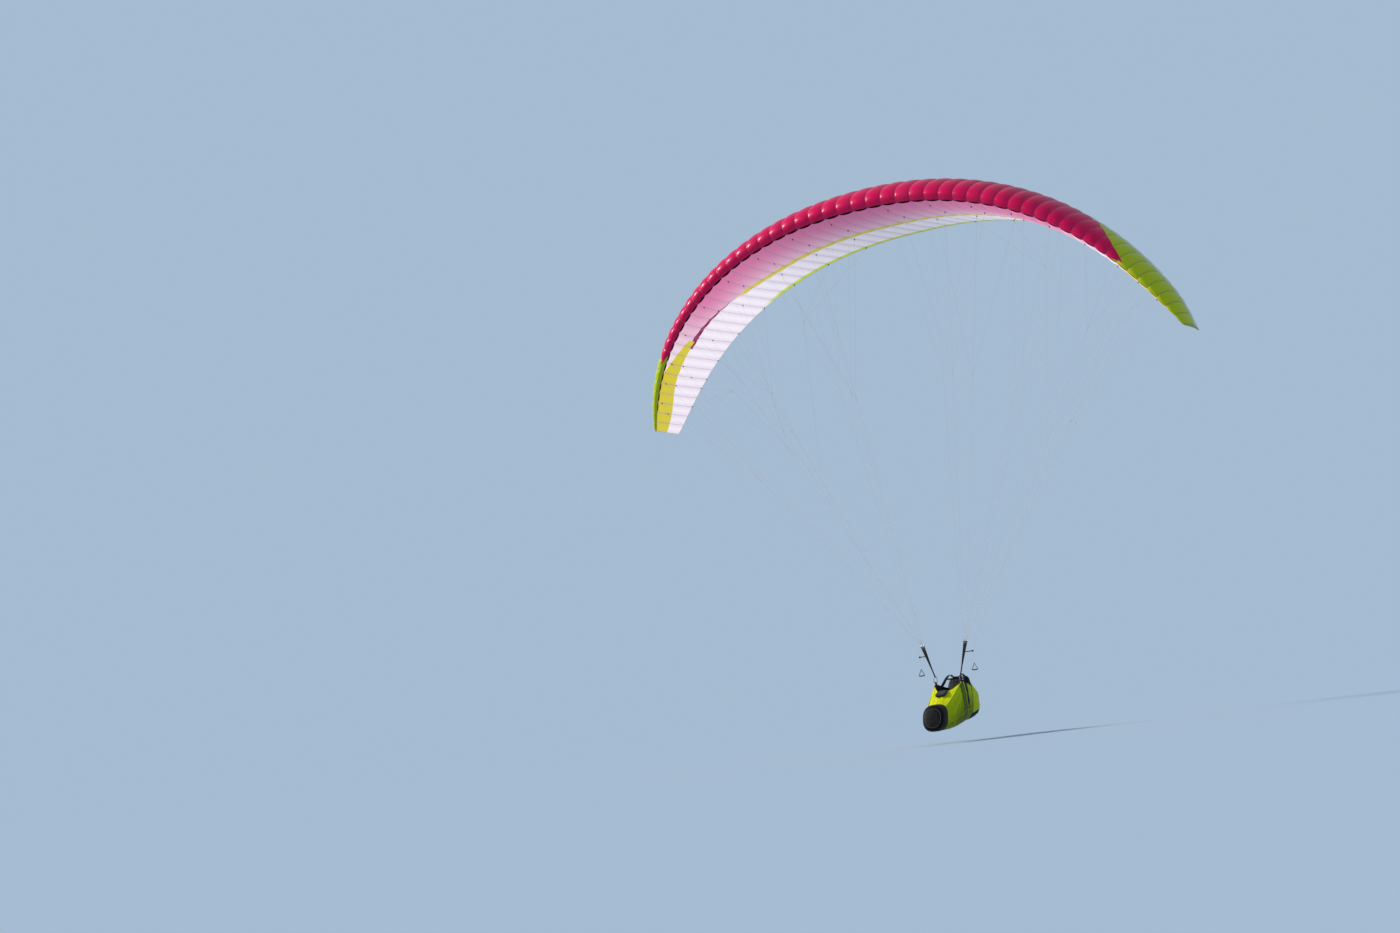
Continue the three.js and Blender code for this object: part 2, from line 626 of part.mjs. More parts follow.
// x: place of a row, inset: how far inside the cap's outside, share: how much of its size it has
const CAP_ROWS = [
  { x: CAP_FRONT, inset: 0, share: 0.62 },
  { x: CAP_FRONT - CAP_PAD.brow, inset: 0, share: 0.82 },
  { x: CAP_FRONT - CAP_PAD.cheek, inset: 0, share: 0.95 },
  { x: CAP_FRONT - CAP_PAD.back, inset: 0, share: 1 },
  { x: CAP_BACK, inset: 0, share: 1 },
  { x: CAP_BACK, inset: CAP.wall, share: 1 },
  { x: CAP_FRONT - CAP_PAD.back, inset: CAP.wall, share: 1 },
  { x: CAP_FRONT - CAP_PAD.cheek, inset: CAP.wall, share: 0.95 },
  { x: CAP_FRONT - CAP.wall, inset: CAP.wall, share: 0.8 },
];
piece(harness, 'foot_cap', cup(CAP_ROWS.map((row) => capRow(row.x, row.inset, row.share))), WEB_BLACK);

// Foot plate: a stiff board across the inside of the cap's nose
const PLATE = { half: 105, tall: 224, thick: 6 };
const plate = new THREE.BoxGeometry(PLATE.thick, 2 * PLATE.half, PLATE.tall);
plate.rotateY(-Math.atan(FOOT_TILT));
const plateX = CAP_FRONT - CAP.wall - (PLATE.thick / 2 + SEAT_GAP) * Math.sqrt(1 + FOOT_TILT ** 2);
plate.translate(plateX - FOOT_TILT * (CAP_MIDDLE - FOOT_MIDDLE), 0, CAP_MIDDLE);
piece(harness, 'foot_plate', bare(plate), PLASTIC);

// Seat board on its foam protector
const SEAT = { front: 125, back: -250, half: 145, top: -628, thick: 12 };
const PROTECTOR = { stations: [-240, -110, 10, 120], half: 140 };
const seat = new THREE.BoxGeometry(SEAT.front - SEAT.back, 2 * SEAT.half, SEAT.thick);
seat.translate((SEAT.front + SEAT.back) / 2, 0, SEAT.top - SEAT.thick / 2);
piece(harness, 'seat_board', bare(seat), BOARD);

// The protector's section: flat on top, its underside on the pod's inside
function protectorRow(x) {
  const top = SEAT.top - SEAT.thick - SEAT_GAP;
  const [[sideY, sideZ], [, low]] = podHalf(podAt(x), POD_WALL + SEAT_GAP).slice(-2);
  const points = [
    [PROTECTOR.half, top], [0, top], [-PROTECTOR.half, top], [-sideY, sideZ], [0, low], [sideY, sideZ],
  ];
  return points.map(([y, z]) => new THREE.Vector3(x, y, z));
}
piece(harness, 'seat_protector', loft(PROTECTOR.stations.map(protectorRow)), FOAM);

// Back: a stiff shell across the pod's rear end, with a padded panel on its front.
// z: height, pad and shell: half widths there
const BACK_ROWS = [
  { z: -696, shell: 70 },
  { z: -640, pad: 108, shell: 176 },
  { z: -540, pad: 150, shell: 218 },
  { z: -390, pad: 162, shell: 228 },
  { z: -150, pad: 156, shell: 204 },
  { z: 20, pad: 128, shell: 150 },
];

function plateRow(x, z, half, thick) {
  const front = [half, half / 2, -half / 2, -half].map((y) => new THREE.Vector3(x, y, z));
  const rear = front.map((p) => new THREE.Vector3(p.x - thick, p.y, p.z)).reverse();
  return [...front, ...rear];
}
const padRows = BACK_ROWS.filter((row) => row.pad);
const padFront = (z) => backPlane(z) + SEAT_GAP + BACK.pad;
const padPlates = padRows.map((row) => plateRow(padFront(row.z), row.z, row.pad, BACK.pad));
piece(harness, 'back_pad', loft(padPlates), FOAM);
const shellPlates = BACK_ROWS.map((row) => plateRow(backPlane(row.z), row.z, row.shell, BACK.shell));
piece(harness, 'back_shell', loft(shellPlates), WEB_BLACK);

// Rear fairing: a hollow tail of cloth behind the back.
// lean: how much of the back's lean a row has, x: its place at the height below,
// inside: how far forward of x the wall's inner row lies
const FAIRING_HEIGHT = -330;
const FAIRING_FRONT = backPlane(FAIRING_HEIGHT) - BACK.shell - SEAT_GAP;
const FAIRING = [
  { x: -890, half: 44, low: -536, high: -410, lean: 0, inside: 0 },
  { x: -860, half: 98, low: -570, high: -350, lean: 0.1, inside: 7 },
  { x: -764, half: 160, low: -622, high: -244, lean: 0.25, inside: 0 },
  { x: -630, half: 202, low: -668, high: -138, lean: 0.5, inside: 0 },
  { x: -490, half: 222, low: -690, high: -60, lean: 0.8, inside: 0 },
  { x: FAIRING_FRONT, half: 214, low: -690, high: -20, lean: 1, inside: 0 },
];
const FAIRING_WALL = 7;
const FAIRING_SIDES = 16;

function fairingRow({ x, half, low, high, lean }, inset) {
  const size = { half: half - inset, low: low + inset, high: high - inset };
  return roundedOutline(size, FAIRING_SIDES, ROUNDNESS)
    .map(({ y, z }) => new THREE.Vector3(x - lean * BACK.lean * (z - FAIRING_HEIGHT), y, z));
}
const fairingInside = FAIRING.slice(1).reverse().map((row) => ({ ...row, x: row.x + row.inside }));
piece(harness, 'rear_fairing', cup([
  ...FAIRING.map((row) => fairingRow(row, 0)),
  ...fairingInside.map((row) => fairingRow(row, FAIRING_WALL)),
]), LIME);

// A flat band through points, its width along each point's own direction
function band(points, acrosses, width, thick) {
  const rows = points.map((p, i) => {
    const before = points[Math.max(i - 1, 0)];
    const after = points[Math.min(i + 1, points.length - 1)];
    const side = acrosses[i].clone().normalize().multiplyScalar(width / 2);
    const tangent = after.clone().sub(before).normalize();
    const normal = tangent.cross(side).normalize().multiplyScalar(thick / 2);
    return [
      p.clone().add(side).add(normal), p.clone().sub(side).add(normal),
      p.clone().sub(side).sub(normal), p.clone().add(side).sub(normal),
    ];
  });
  return loft(rows);
}

// Hang straps: an eye on the carabiner's lower bar, then webbing down the inside of the pod's wall
const HANG_EYE = -CARABINER.barPitch / 2;
const HANG_WIDTH = 36;
const HANG_NECK = { half: 4, low: -64 };
const HANG_TAIL = { width: 44, low: -330, intoEye: 2 };
// the outer face of the webbing, against the pod's edge where the pod is narrowest beside it
const HANG_FACE = podAt(HANG_TAIL.width / 2).rimHalf - POD_WALL - SEAT_GAP;

function hangStrap(side) {
  const radius = eyeRadius(CARABINER.bar);
  const shape = new THREE.Shape([
    ...eyeOutline(0, HANG_EYE, radius, DOWNWARDS),
    new THREE.Vector2(-HANG_NECK.half, HANG_NECK.low),
    new THREE.Vector2(HANG_NECK.half, HANG_NECK.low),
  ]);
  shape.holes.push(eyeHole(0, HANG_EYE, CARABINER.bar));
  const eye = wideShape(shape, HANG_WIDTH);
  eye.translate(0, side * HANG.y, 0);
  const tailTop = HANG_EYE - radius + HANG_TAIL.intoEye;
  const tail = new THREE.BoxGeometry(HANG_TAIL.width, STRAP_THICK, tailTop - HANG_TAIL.low);
  tail.translate(0, side * (HANG_FACE - STRAP_THICK / 2), (tailTop + HANG_TAIL.low) / 2);
  return join(eye, bare(tail));
}

// Shoulder straps: from the top of the back over the shoulders and down to the hang straps' inner faces.
// x, y, z: place, ax, ay, az: direction of the strap's width
const SHOULDER = { width: 44, thick: 6 };
const HIP_FACE = HANG_FACE - STRAP_THICK - SEAT_GAP - SHOULDER.thick / 2;
const BACK_TOP = BACK_ROWS[BACK_ROWS.length - 1].z + SEAT_GAP + SHOULDER.thick / 2;
const SHOULDER_PATH = [
  { x: -452, y: 96, z: BACK_TOP, ax: 0, ay: 1, az: 0 },
  { x: -408, y: 96, z: BACK_TOP, ax: 0, ay: 1, az: 0 },
  { x: -368, y: 97, z: 44, ax: 0, ay: 1, az: 0 },
  { x: -310, y: 100, z: 54, ax: 0, ay: 1, az: 0 },
  { x: -245, y: 108, z: 38, ax: 0.1, ay: 1, az: 0 },
  { x: -185, y: 124, z: -8, ax: 0.3, ay: 1, az: 0.2 },
  { x: -130, y: 150, z: -75, ax: 0.6, ay: 1, az: 0.5 },
  { x: -75, y: 182, z: -140, ax: 0.8, ay: 0.6, az: 0.6 },
  { x: -28, y: HIP_FACE, z: -196, ax: 0.8, ay: 0, az: 0.62 },
  { x: 2, y: HIP_FACE, z: -234, ax: 0.8, ay: 0, az: 0.62 },
];

for (const { name: sideName, side } of SIDES) {
  piece(harness, `hang_strap_${sideName}`, hangStrap(side), WEB_BLACK);
  const points = SHOULDER_PATH.map((p) => new THREE.Vector3(p.x, side * p.y, p.z));
  const acrosses = SHOULDER_PATH.map((p) => new THREE.Vector3(p.ax, side * p.ay, p.az));
  const strap = band(points, acrosses, SHOULDER.width, SHOULDER.thick);
  piece(harness, `shoulder_strap_${sideName}`, strap, WEB_BLACK);
}

// Chest strap between the inner edges of the shoulder straps.
// bow: how far its middle lies forward, reach: how far past the straps' nearest edge its ends come
const CHEST = { width: 26, thick: 3, bow: 34, droop: 0.2, reach: 0.6 };
const chestAt = SHOULDER_PATH[5];
const chestEnd = chestAt.y - SHOULDER.width / 2 + CHEST.reach;
const chestPoints = [-1, -0.5, 0.5, 1].map((t) => {
  const forward = CHEST.bow * (1 - Math.abs(t));
  return new THREE.Vector3(chestAt.x + forward, t * chestEnd, chestAt.z - forward * CHEST.droop);
});
const chestAcross = chestPoints.map(() => new THREE.Vector3(0.45, 0, 1));
piece(harness, 'chest_strap', band(chestPoints, chestAcross, CHEST.width, CHEST.thick), WEB_BLACK);

// Cockpit: a slim instrument deck lying on the leg cover's rear edge
const DECK = { long: 190, half: 88, thick: 32, over: 10, beside: 22 };
const crownBack = coverRow(COVER[0])[COVER_STEPS / 2];
const crownFront = coverRow(COVER[2])[COVER_STEPS / 2];
const deckSlope = Math.atan2(crownFront.z - crownBack.z, crownFront.x - crownBack.x);

// How far a point stands over the deck's underside, were it laid through the two crown points
function overDeck(p) {
  return (p.z - crownFront.z) * Math.cos(deckSlope) - (p.x - crownFront.x) * Math.sin(deckSlope);
}
const coverPoints = COVER.slice(0, 3).flatMap(coverRow);
const underDeck = coverPoints.filter((p) => Math.abs(p.y) < DECK.half + DECK.beside);
const deckLift = Math.max(...underDeck.map(overDeck)) + SEAT_GAP;
const deck = new THREE.BoxGeometry(DECK.long, 2 * DECK.half, DECK.thick);
deck.translate(DECK.over - DECK.long / 2, 0, DECK.thick / 2 + deckLift);
deck.rotateY(-deckSlope);
deck.translate(crownFront.x, 0, crownFront.z);
piece(harness, 'cockpit', bare(deck), WEB_BLACK);

export default paraglider;
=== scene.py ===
import math

import bmesh
import bpy
import numpy as np
from mathutils import Matrix, Vector, noise
from mathutils.geometry import tessellate_polygon


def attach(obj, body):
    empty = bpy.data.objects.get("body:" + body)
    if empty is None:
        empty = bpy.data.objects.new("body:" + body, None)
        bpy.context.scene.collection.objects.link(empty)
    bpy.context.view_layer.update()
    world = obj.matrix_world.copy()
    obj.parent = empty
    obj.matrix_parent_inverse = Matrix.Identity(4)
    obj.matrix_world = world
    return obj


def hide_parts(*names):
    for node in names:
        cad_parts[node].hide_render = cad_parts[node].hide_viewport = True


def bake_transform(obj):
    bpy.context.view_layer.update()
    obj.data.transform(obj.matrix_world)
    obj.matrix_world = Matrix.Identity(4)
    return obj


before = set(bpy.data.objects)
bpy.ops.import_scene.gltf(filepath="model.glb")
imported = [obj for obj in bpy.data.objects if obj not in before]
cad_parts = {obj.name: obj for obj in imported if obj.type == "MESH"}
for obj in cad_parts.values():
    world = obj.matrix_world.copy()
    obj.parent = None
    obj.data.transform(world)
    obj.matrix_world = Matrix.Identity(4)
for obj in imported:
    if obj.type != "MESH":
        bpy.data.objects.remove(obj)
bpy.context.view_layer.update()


def placed(name, data):
    """A new object in the scene, at the origin."""
    made = bpy.data.objects.new(name, data)
    bpy.context.scene.collection.objects.link(made)
    return made


# The camera stands about 33 m from the wing, low over the floor and ahead of the left tip, and looks
# up at the underside of the arch. It is rolled by as much as the wing was banked.
CAMERA_PLACE = Vector((29.4297, 12.9899, -7.9777))
CAMERA_YAW, CAMERA_PITCH, CAMERA_ROLL = -0.52157, 0.13030, 0.11213
CAMERA_LENS, CAMERA_REACH = 51.43, 500
facing = Matrix(((0, 1, 0), (0, 0, 1), (-1, 0, 0))) @ Matrix.Rotation(CAMERA_YAW, 3, "Z")
facing = Matrix.Rotation(CAMERA_ROLL, 3, "Z") @ Matrix.Rotation(CAMERA_PITCH, 3, "X") @ facing
camera = placed("camera", bpy.data.cameras.new("camera"))
camera.data.lens = CAMERA_LENS
camera.data.clip_end = CAMERA_REACH
axes = (facing[0], facing[1], -facing[2])
camera.matrix_world = Matrix.Translation(CAMERA_PLACE) @ Matrix(axes).transposed().to_4x4()
bpy.context.scene.camera = camera


# Node trees. A Field is a value that changes over a surface, and a Finish is a material's tree.
class Field:
    """One output of a tree's nodes, used in ordinary sums."""

    def __init__(self, owner, socket):
        self.owner, self.socket = owner, socket

    def reckon(self, operation, *values):
        return self.owner.node("ShaderNodeMath", {"operation": operation}, *values)

    def __add__(self, other):
        return self.reckon("ADD", self, other)

    def __sub__(self, other):
        return self.reckon("SUBTRACT", self, other)

    def __rsub__(self, other):
        return self.reckon("SUBTRACT", other, self)

    def __mul__(self, other):
        return self.reckon("MULTIPLY", self, other)

    def __gt__(self, other):
        return self.reckon("GREATER_THAN", self, other)

    def __lt__(self, other):
        return self.reckon("LESS_THAN", self, other)

    def __abs__(self):
        return self.apply("ABSOLUTE")

    __radd__, __rmul__ = __add__, __mul__

    def apply(self, operation):
        """A Math node on this value alone, such as SINE."""
        return self.reckon(operation, self)

    def rise(self, start, end, kind="SMOOTHSTEP"):
        """0 before start, 1 after end, and smooth in between."""
        return self.owner.node("ShaderNodeMapRange", {"interpolation_type": kind}, self, start, end)


class Tree:
    """A tree of nodes. node() takes a node's type, its settings, and its sockets' values or links."""

    def join(self, socket, value):
        if isinstance(value, Field):
            self.tree.links.new(value.socket, socket)
        else:
            socket.default_value = value

    def node(self, kind, settings, *values, out=0, **named):
        made = self.tree.nodes.new(kind)
        for setting, value in settings.items():
            setattr(made, setting, value)
        for socket, value in zip(made.inputs, values):
            self.join(socket, value)
        for key, value in named.items():
            self.join(made.inputs[key.replace("_", " ")], value)
        return Field(self, made.outputs[out])


class Finish(Tree):
    """A procedural material. Constants are set on the shader's own sockets."""

    def __init__(self, name, **sockets):
        self.material = bpy.data.materials.new(name)
        self.material.use_nodes = True
        self.tree = self.material.node_tree
        self.shader = self.tree.nodes["Principled BSDF"]
        for socket, value in sockets.items():
            self.put(socket, value)

    def put(self, socket, value):
        self.join(self.shader.inputs[socket.replace("_", " ")], value)

    def attribute(self, name):
        return self.node("ShaderNodeAttribute", {"attribute_name": name}, out="Fac")

    def place(self):
        return self.node("ShaderNodeTexCoord", {}, out="Object")

    def past(self, axis, start):
        """How far along an axis a point lies past a start."""
        return self.node("ShaderNodeSeparateXYZ", {}, self.place(), out=axis) - float(start)

    def texture(self, kind, scale, settings, **more):
        return self.node(f"ShaderNodeTex{kind}", settings, Vector=self.place(), Scale=scale, **more)

    def noise(self, scale, **more):
        return self.texture("Noise", scale, {}, **more)

    def mix(self, share, first, second):
        """A colour between two others. The node's colour sockets stand after its number and vector ones."""
        made = self.node("ShaderNodeMix", {"data_type": "RGBA"}, out=2)
        for number, value in ((0, share), (6, first), (7, second)):
            self.join(made.socket.node.inputs[number], value)
        return made

    def bump(self, height, distance):
        self.put("Normal", self.node("ShaderNodeBump", {}, Strength=1.0, Distance=distance, Height=height))

    def two_tone(self, shade, first, second, share=1.0, relief=0.0):
        """Colours the finish between two tones, by a field that can also be its relief."""
        self.put("Base Color", self.mix(shade * share, first, second))
        if relief:
            self.bump(shade, relief)


# The studio: a wide pale floor under the part that fades into the pale air far away, one big soft
# lamp high on the camera's left, and an even light from all round.
FLOOR_HEIGHT, FLOOR_REACH = -8.62, 400
FLOOR_COLOUR, FLOOR_ROUGHNESS = (0.39, 0.47, 0.55, 1), 0.95
AIR_COLOUR, AIR_LIGHT = (0.38, 0.50, 0.64, 1), 1.0
FADE_START, FADE_END = 14, 70
LAMP_TOWARDS, LAMP_SPREAD = Vector((0.36, -0.82, 0.44)), math.radians(14)
LAMP_COLOUR, LAMP_LIGHT = (1, 0.96, 0.9), 4.2
bpy.context.scene.view_settings.view_transform = "Standard"
floor_corners = [(-1, -1), (1, -1), (1, 1), (-1, 1)]
floor_corners = [(FLOOR_REACH * x, FLOOR_REACH * y, FLOOR_HEIGHT) for x, y in floor_corners]
floor = placed("floor", bpy.data.meshes.new("floor"))
floor.data.from_pydata(floor_corners, [], [(0, 1, 2, 3)])
paint = Finish("floor", Base_Color=FLOOR_COLOUR, Roughness=FLOOR_ROUGHNESS, Specular_IOR_Level=0.0)
far = paint.node("ShaderNodeVectorMath", {"operation": "LENGTH"}, paint.place(), out="Value")
far = far.rise(FADE_START, FADE_END, "SMOOTHERSTEP")
far_air = paint.node("ShaderNodeEmission", {}, AIR_COLOUR, AIR_LIGHT)
near = Field(paint, paint.shader.outputs["BSDF"])
faded = paint.node("ShaderNodeMixShader", {}, far, near, far_air)
paint.join(paint.tree.nodes["Material Output"].inputs["Surface"], faded)
floor.data.materials.append(paint.material)
lamp = placed("lamp", bpy.data.lights.new("lamp", "SUN"))
lamp.data.energy, lamp.data.angle, lamp.data.color = LAMP_LIGHT, LAMP_SPREAD, LAMP_COLOUR
lamp.rotation_euler = LAMP_TOWARDS.to_track_quat("Z", "Y").to_euler()
air = bpy.data.worlds.new("air")
air.use_nodes = True
air.node_tree.nodes["Background"].inputs["Color"].default_value = AIR_COLOUR
air.node_tree.nodes["Background"].inputs["Strength"].default_value = AIR_LIGHT
bpy.context.scene.world = air

# The wing's form: 27 cells on each side of the centre, sewn from ripstop nylon. The cloth lies on an
# arch, so its slope grows from the centre to the tip, and every cell balloons between its two ribs.
HALF_SPAN = 5.8
CELLS, CELL_TAPER = 27, 0.36
CENTRE_CELL = HALF_SPAN / (CELLS * (1 - CELL_TAPER / 2))
ROOT_CHORD, TIP_CHORD_RATIO, CHORD_POWER = 2.8, 0.28, 1.5
TIP_SWEEP, SWEEP_POWER = 0.385, 3.4
TIP_ANHEDRAL, ANHEDRAL_POWER = 1.16, 1.17
ORIGIN_CHORD = 0.4
THICKNESS, TIP_THINNING, THINNING_START = 0.18, 0.7, 0.9
CAMBER, CAMBER_CHORD = 0.035, 0.4
BULGE_UPPER, BULGE_LOWER, BULGE_FADE, BULGE_NOSE = 0.1, 0.065, 0.4, 0.03
ARC_STEPS = 3000
arc = np.linspace(0, 1, ARC_STEPS + 1)
arc_slope = TIP_ANHEDRAL * ((arc[1:] + arc[:-1]) / 2) ** ANHEDRAL_POWER
arc_y = np.concatenate([[0], np.cumsum(np.cos(arc_slope))]) * HALF_SPAN / ARC_STEPS
arc_z = np.concatenate([[0], -np.cumsum(np.sin(arc_slope))]) * HALF_SPAN / ARC_STEPS


def skin_height(x, thickness, face):
    """Height over the chord line, in chords; face is 1 on the upper skin and -1 on the lower one. The
    numbers are those of the usual four-digit wing section."""
    half = 0.2969 * np.sqrt(x) - 0.126 * x - 0.3516 * x**2 + 0.2843 * x**3 - 0.1036 * x**4
    ahead = CAMBER * (2 * CAMBER_CHORD * x - x * x) / CAMBER_CHORD**2
    behind = CAMBER * (1 - 2 * CAMBER_CHORD + 2 * CAMBER_CHORD * x - x * x) / (1 - CAMBER_CHORD) ** 2
    return np.where(x < CAMBER_CHORD, ahead, behind) + face * 5 * thickness * half


def skin(rib, x, face, bulge):
    """Points of the cloth. rib counts cells from the centre, negative on the right; x is the share of
    the chord behind the nose; bulge is 0 at a rib and 1 in the middle of a cell."""
    rib, x, face, bulge = np.broadcast_arrays(*(np.asarray(v, float) for v in (rib, x, face, bulge)))
    count = np.abs(rib)
    s = CENTRE_CELL * (count - CELL_TAPER * count**2 / (2 * CELLS)) / HALF_SPAN
    chord = ROOT_CHORD * np.sqrt(1 - (1 - TIP_CHORD_RATIO**2) * s**CHORD_POWER)
    nose = ROOT_CHORD * (ORIGIN_CHORD - TIP_SWEEP * s**SWEEP_POWER)
    thinning = np.clip((s - THINNING_START) / (1 - THINNING_START), 0, 1) ** 2
    thickness = THICKNESS * (1 - TIP_THINNING * thinning)
    cell = CENTRE_CELL * (1 - CELL_TAPER * count / CELLS)
    x0, x1 = np.maximum(x - 1e-3, 0), np.minimum(x + 1e-3, 1)
    run, climb = x1 - x0, skin_height(x1, thickness, face) - skin_height(x0, thickness, face)
    length = np.hypot(run, climb)
    blend = np.minimum(1, np.sqrt(x / BULGE_NOSE))
    depth = (BULGE_UPPER + BULGE_LOWER) / 2 + face * blend * (BULGE_UPPER - BULGE_LOWER) / 2
    out = bulge * depth * cell * np.minimum(1, (1 - x) / BULGE_FADE)
    back = chord * x - face * climb / length * out
    height = chord * skin_height(x, thickness, face) + face * run / length * out
    slope = TIP_ANHEDRAL * s**ANHEDRAL_POWER
    y = np.interp(s, arc, arc_y) + np.sin(slope) * height
    z = np.interp(s, arc, arc_z) + np.cos(slope) * height
    return np.stack([nose - back, np.where(rib < 0, -y, y), z], -1)


def new_piece(name, points, faces, *finishes):
    """A mesh object in the row frame, with its object at the origin."""
    mesh = bpy.data.meshes.new(name)
    mesh.from_pydata([tuple(p) for p in points], [], faces)
    for finish in finishes:
        mesh.materials.append(finish.material)
    mesh.polygons.foreach_set("use_smooth", [True] * len(mesh.polygons))
    return placed(name, mesh)


def grid_faces(rows, columns, wrap=False, flip=False):
    """Faces between neighbouring points of a grid whose columns run fastest."""
    faces = []
    for r in range(rows - 1):
        for c in range(columns if wrap else columns - 1):
            d = (c + 1) % columns
            face = (r * columns + c, r * columns + d, (r + 1) * columns + d, (r + 1) * columns + c)
            faces.append(face[::-1] if flip else face)
    return faces


def give(piece, name, values):
    """Keeps a value for each point of a piece, for its finish to read."""
    values = np.asarray(values, np.float32).ravel()
    piece.data.attributes.new(name, "FLOAT", "POINT").data.foreach_set("value", values)


def thicken(piece, thickness, offset=0.0, inner=0):
    """Turns one layer of faces into a closed cloth. inner counts from the outer face's material to the
    inner one's."""
    made = piece.modifiers.new("cloth", "SOLIDIFY")
    made.thickness, made.offset, made.material_offset = thickness, offset, inner


def settle(piece, slot, body, *nodes):
    """Hides what a piece replaces in the CAD and attaches the piece to the body that carries it. slot, its
    material slot, is not used.
    """
    if nodes:
        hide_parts(*nodes)
    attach(piece, body)


# The canopy's cloth is coated nylon, puckered across its seams and slack in between, a little faded.
# The colour fields lie on the cloth: cell number across the span, share of the chord from the nose.
MAGENTA = (0.56, 0.0003, 0.064, 1)
MAGENTA_DEEP = (0.23, 0.001, 0.038, 1)
LIME = (0.38, 0.45, 0.002, 1)
# Painted light on the lower skin: LIME_THROUGH, LIME_HEM and WHITE are painted brighter than the same cloth
# on top (LIME, TOP_WHITE), and LIME_THROUGH yellower, as lit through; PINK_THROUGH paints the top's magenta
# shining through.
LIME_THROUGH = (0.58, 0.47, 0.002, 1)
LIME_HEM = (0.50, 0.58, 0.002, 1)
WHITE = (0.78, 0.68, 0.69, 1)
TOP_WHITE = (0.52, 0.49, 0.51, 1)
PINK_THROUGH = (0.58, 0.06, 0.21, 1)
# SEAM_SHADE and RIB_SHADE are painted shade, mixed in along the seams and beside the ribs.
SEAM_SHADE = (0.12, 0.03, 0.07, 1)
RIB_SHADE, RIB_SHADE_REACH = (0.40, 0.20, 0.32, 1), 0.105
FADED, FADED_SHARE = (1, 1, 1, 1), 0.008
BLACK = (0.0, 0.0, 0.0, 1)
PUCKER_PITCH, PUCKER_REACH, PUCKER_DEEP = 0.045, 0.06, 0.35
SLACK_DEEP, CREASE_DEEP, CLOTH_RELIEF = 1.1, 0.35, 0.006


def cloth_wear_and_painted_light(finish, colour, seam_width, seam_share, rib_share, glow):
    """Canopy cloth of a colour: painted shade along the seams and the ribs' wide soft painted shade beside
    them, puckers, wrinkles and slight fading. glow is the share of the colour that the cloth gives off as a
    painted glow, for the light that comes through it."""
    beside = finish.attribute("seam_distance")
    fade = finish.noise(1.7, Detail=4.0)
    colour = finish.mix(fade.rise(0.4, 0.8) * FADED_SHARE, colour, FADED)
    # Painted shade: the ribs seen through the cloth, and the cusps between the cells along the seams.
    colour = finish.mix((1 - beside.rise(0.0, RIB_SHADE_REACH)) * rib_share, colour, RIB_SHADE)
    colour = finish.mix((1 - beside.rise(0.0, seam_width)) * seam_share, colour, SEAM_SHADE)
    finish.put("Base Color", colour)
    # Painted glow: the cloth gives off its own colour as emission.
    finish.put("Emission Color", finish.mix(glow, BLACK, colour))
    turns = finish.attribute("run") * (2 * math.pi / PUCKER_PITCH) + finish.noise(3.0) * 9
    pucker = turns.apply("SINE") * (1 - beside.rise(0.0, PUCKER_REACH))
    slack = finish.noise(5.5, Detail=3.0)
    creases = finish.noise(19.0, Detail=2.0)
    finish.bump(pucker * PUCKER_DEEP + slack * SLACK_DEEP + creases * CREASE_DEEP, CLOTH_RELIEF)
    finish.put("Roughness", 0.33 + fade * 0.14)


STRIPE_CHORD, STRIPE_SHIFT, SHIFTED, SHIFTED_BACK = 0.49, 0.2, (8, 17), (21, 27)


def stripe_chord(rib):
    """Where the lime stripe runs: mid-chord at the centre, nearer the nose in the outer cells."""
    return STRIPE_CHORD - rib.rise(*SHIFTED) * STRIPE_SHIFT + rib.rise(*SHIFTED_BACK) * STRIPE_SHIFT


# The upper skin's cloth: magenta ahead of the stripe in the inner cells, lime in the outer ones and at the
# trailing edge, white behind, with a faint painted glow from its emission.
STRIPE_WIDTH, MAGENTA_CELLS, MAGENTA_SLANT, UPPER_HEM = 0.022, 20.5, 8, 0.968
COAT = {"Coat_Weight": 0.22, "Coat_Roughness": 0.2}
upper_cloth = Finish("upper_cloth", Specular_IOR_Level=0.06, Emission_Strength=0.05, **COAT)
chord = upper_cloth.attribute("chord")
rib = abs(upper_cloth.attribute("cell"))
stripe = stripe_chord(rib)
colour = upper_cloth.mix(chord < stripe, TOP_WHITE, LIME)
magenta_cells = rib < MAGENTA_CELLS - abs(chord).apply("SQRT") * MAGENTA_SLANT
colour = upper_cloth.mix((chord < stripe - STRIPE_WIDTH) * magenta_cells, colour, MAGENTA)
colour = upper_cloth.mix(chord > UPPER_HEM, colour, LIME)
cloth_wear_and_painted_light(upper_cloth, colour, 0.016, 0.35, 0.0, 1.0)

# The lower skin's cloth: white, with painted light: the top's magenta painted on as if shining through ahead
# of the thin lime stripe, fading aft and towards the tip, and a painted glow of the whole cloth. Also a dark
# spear where the stripe ends, a lime panel at the tip and a lime hem.
STRIPE_HALF, STRIPE_ENDS, PINK_SHARE, STRIPE_SHARE = 0.036, (11.5, 12.5), 0.86, 0.95
SPEAR_FIRST, SPEAR_LAST, SPEAR_FLARE = 12.6, 18.2, 0.0085
PANEL_CHORD, PANEL_CELL, PANEL_SLANT, PANEL_FIRST = 0.19, 17.5, 0.045, 17.4
LOWER_HEM, HEM_ENDS = 0.935, (11.0, 13.5)
lower_cloth = Finish("lower_cloth", Specular_IOR_Level=0.1, Emission_Strength=0.78)
chord = lower_cloth.attribute("chord")
rib = abs(lower_cloth.attribute("cell"))
stripe = stripe_chord(rib)
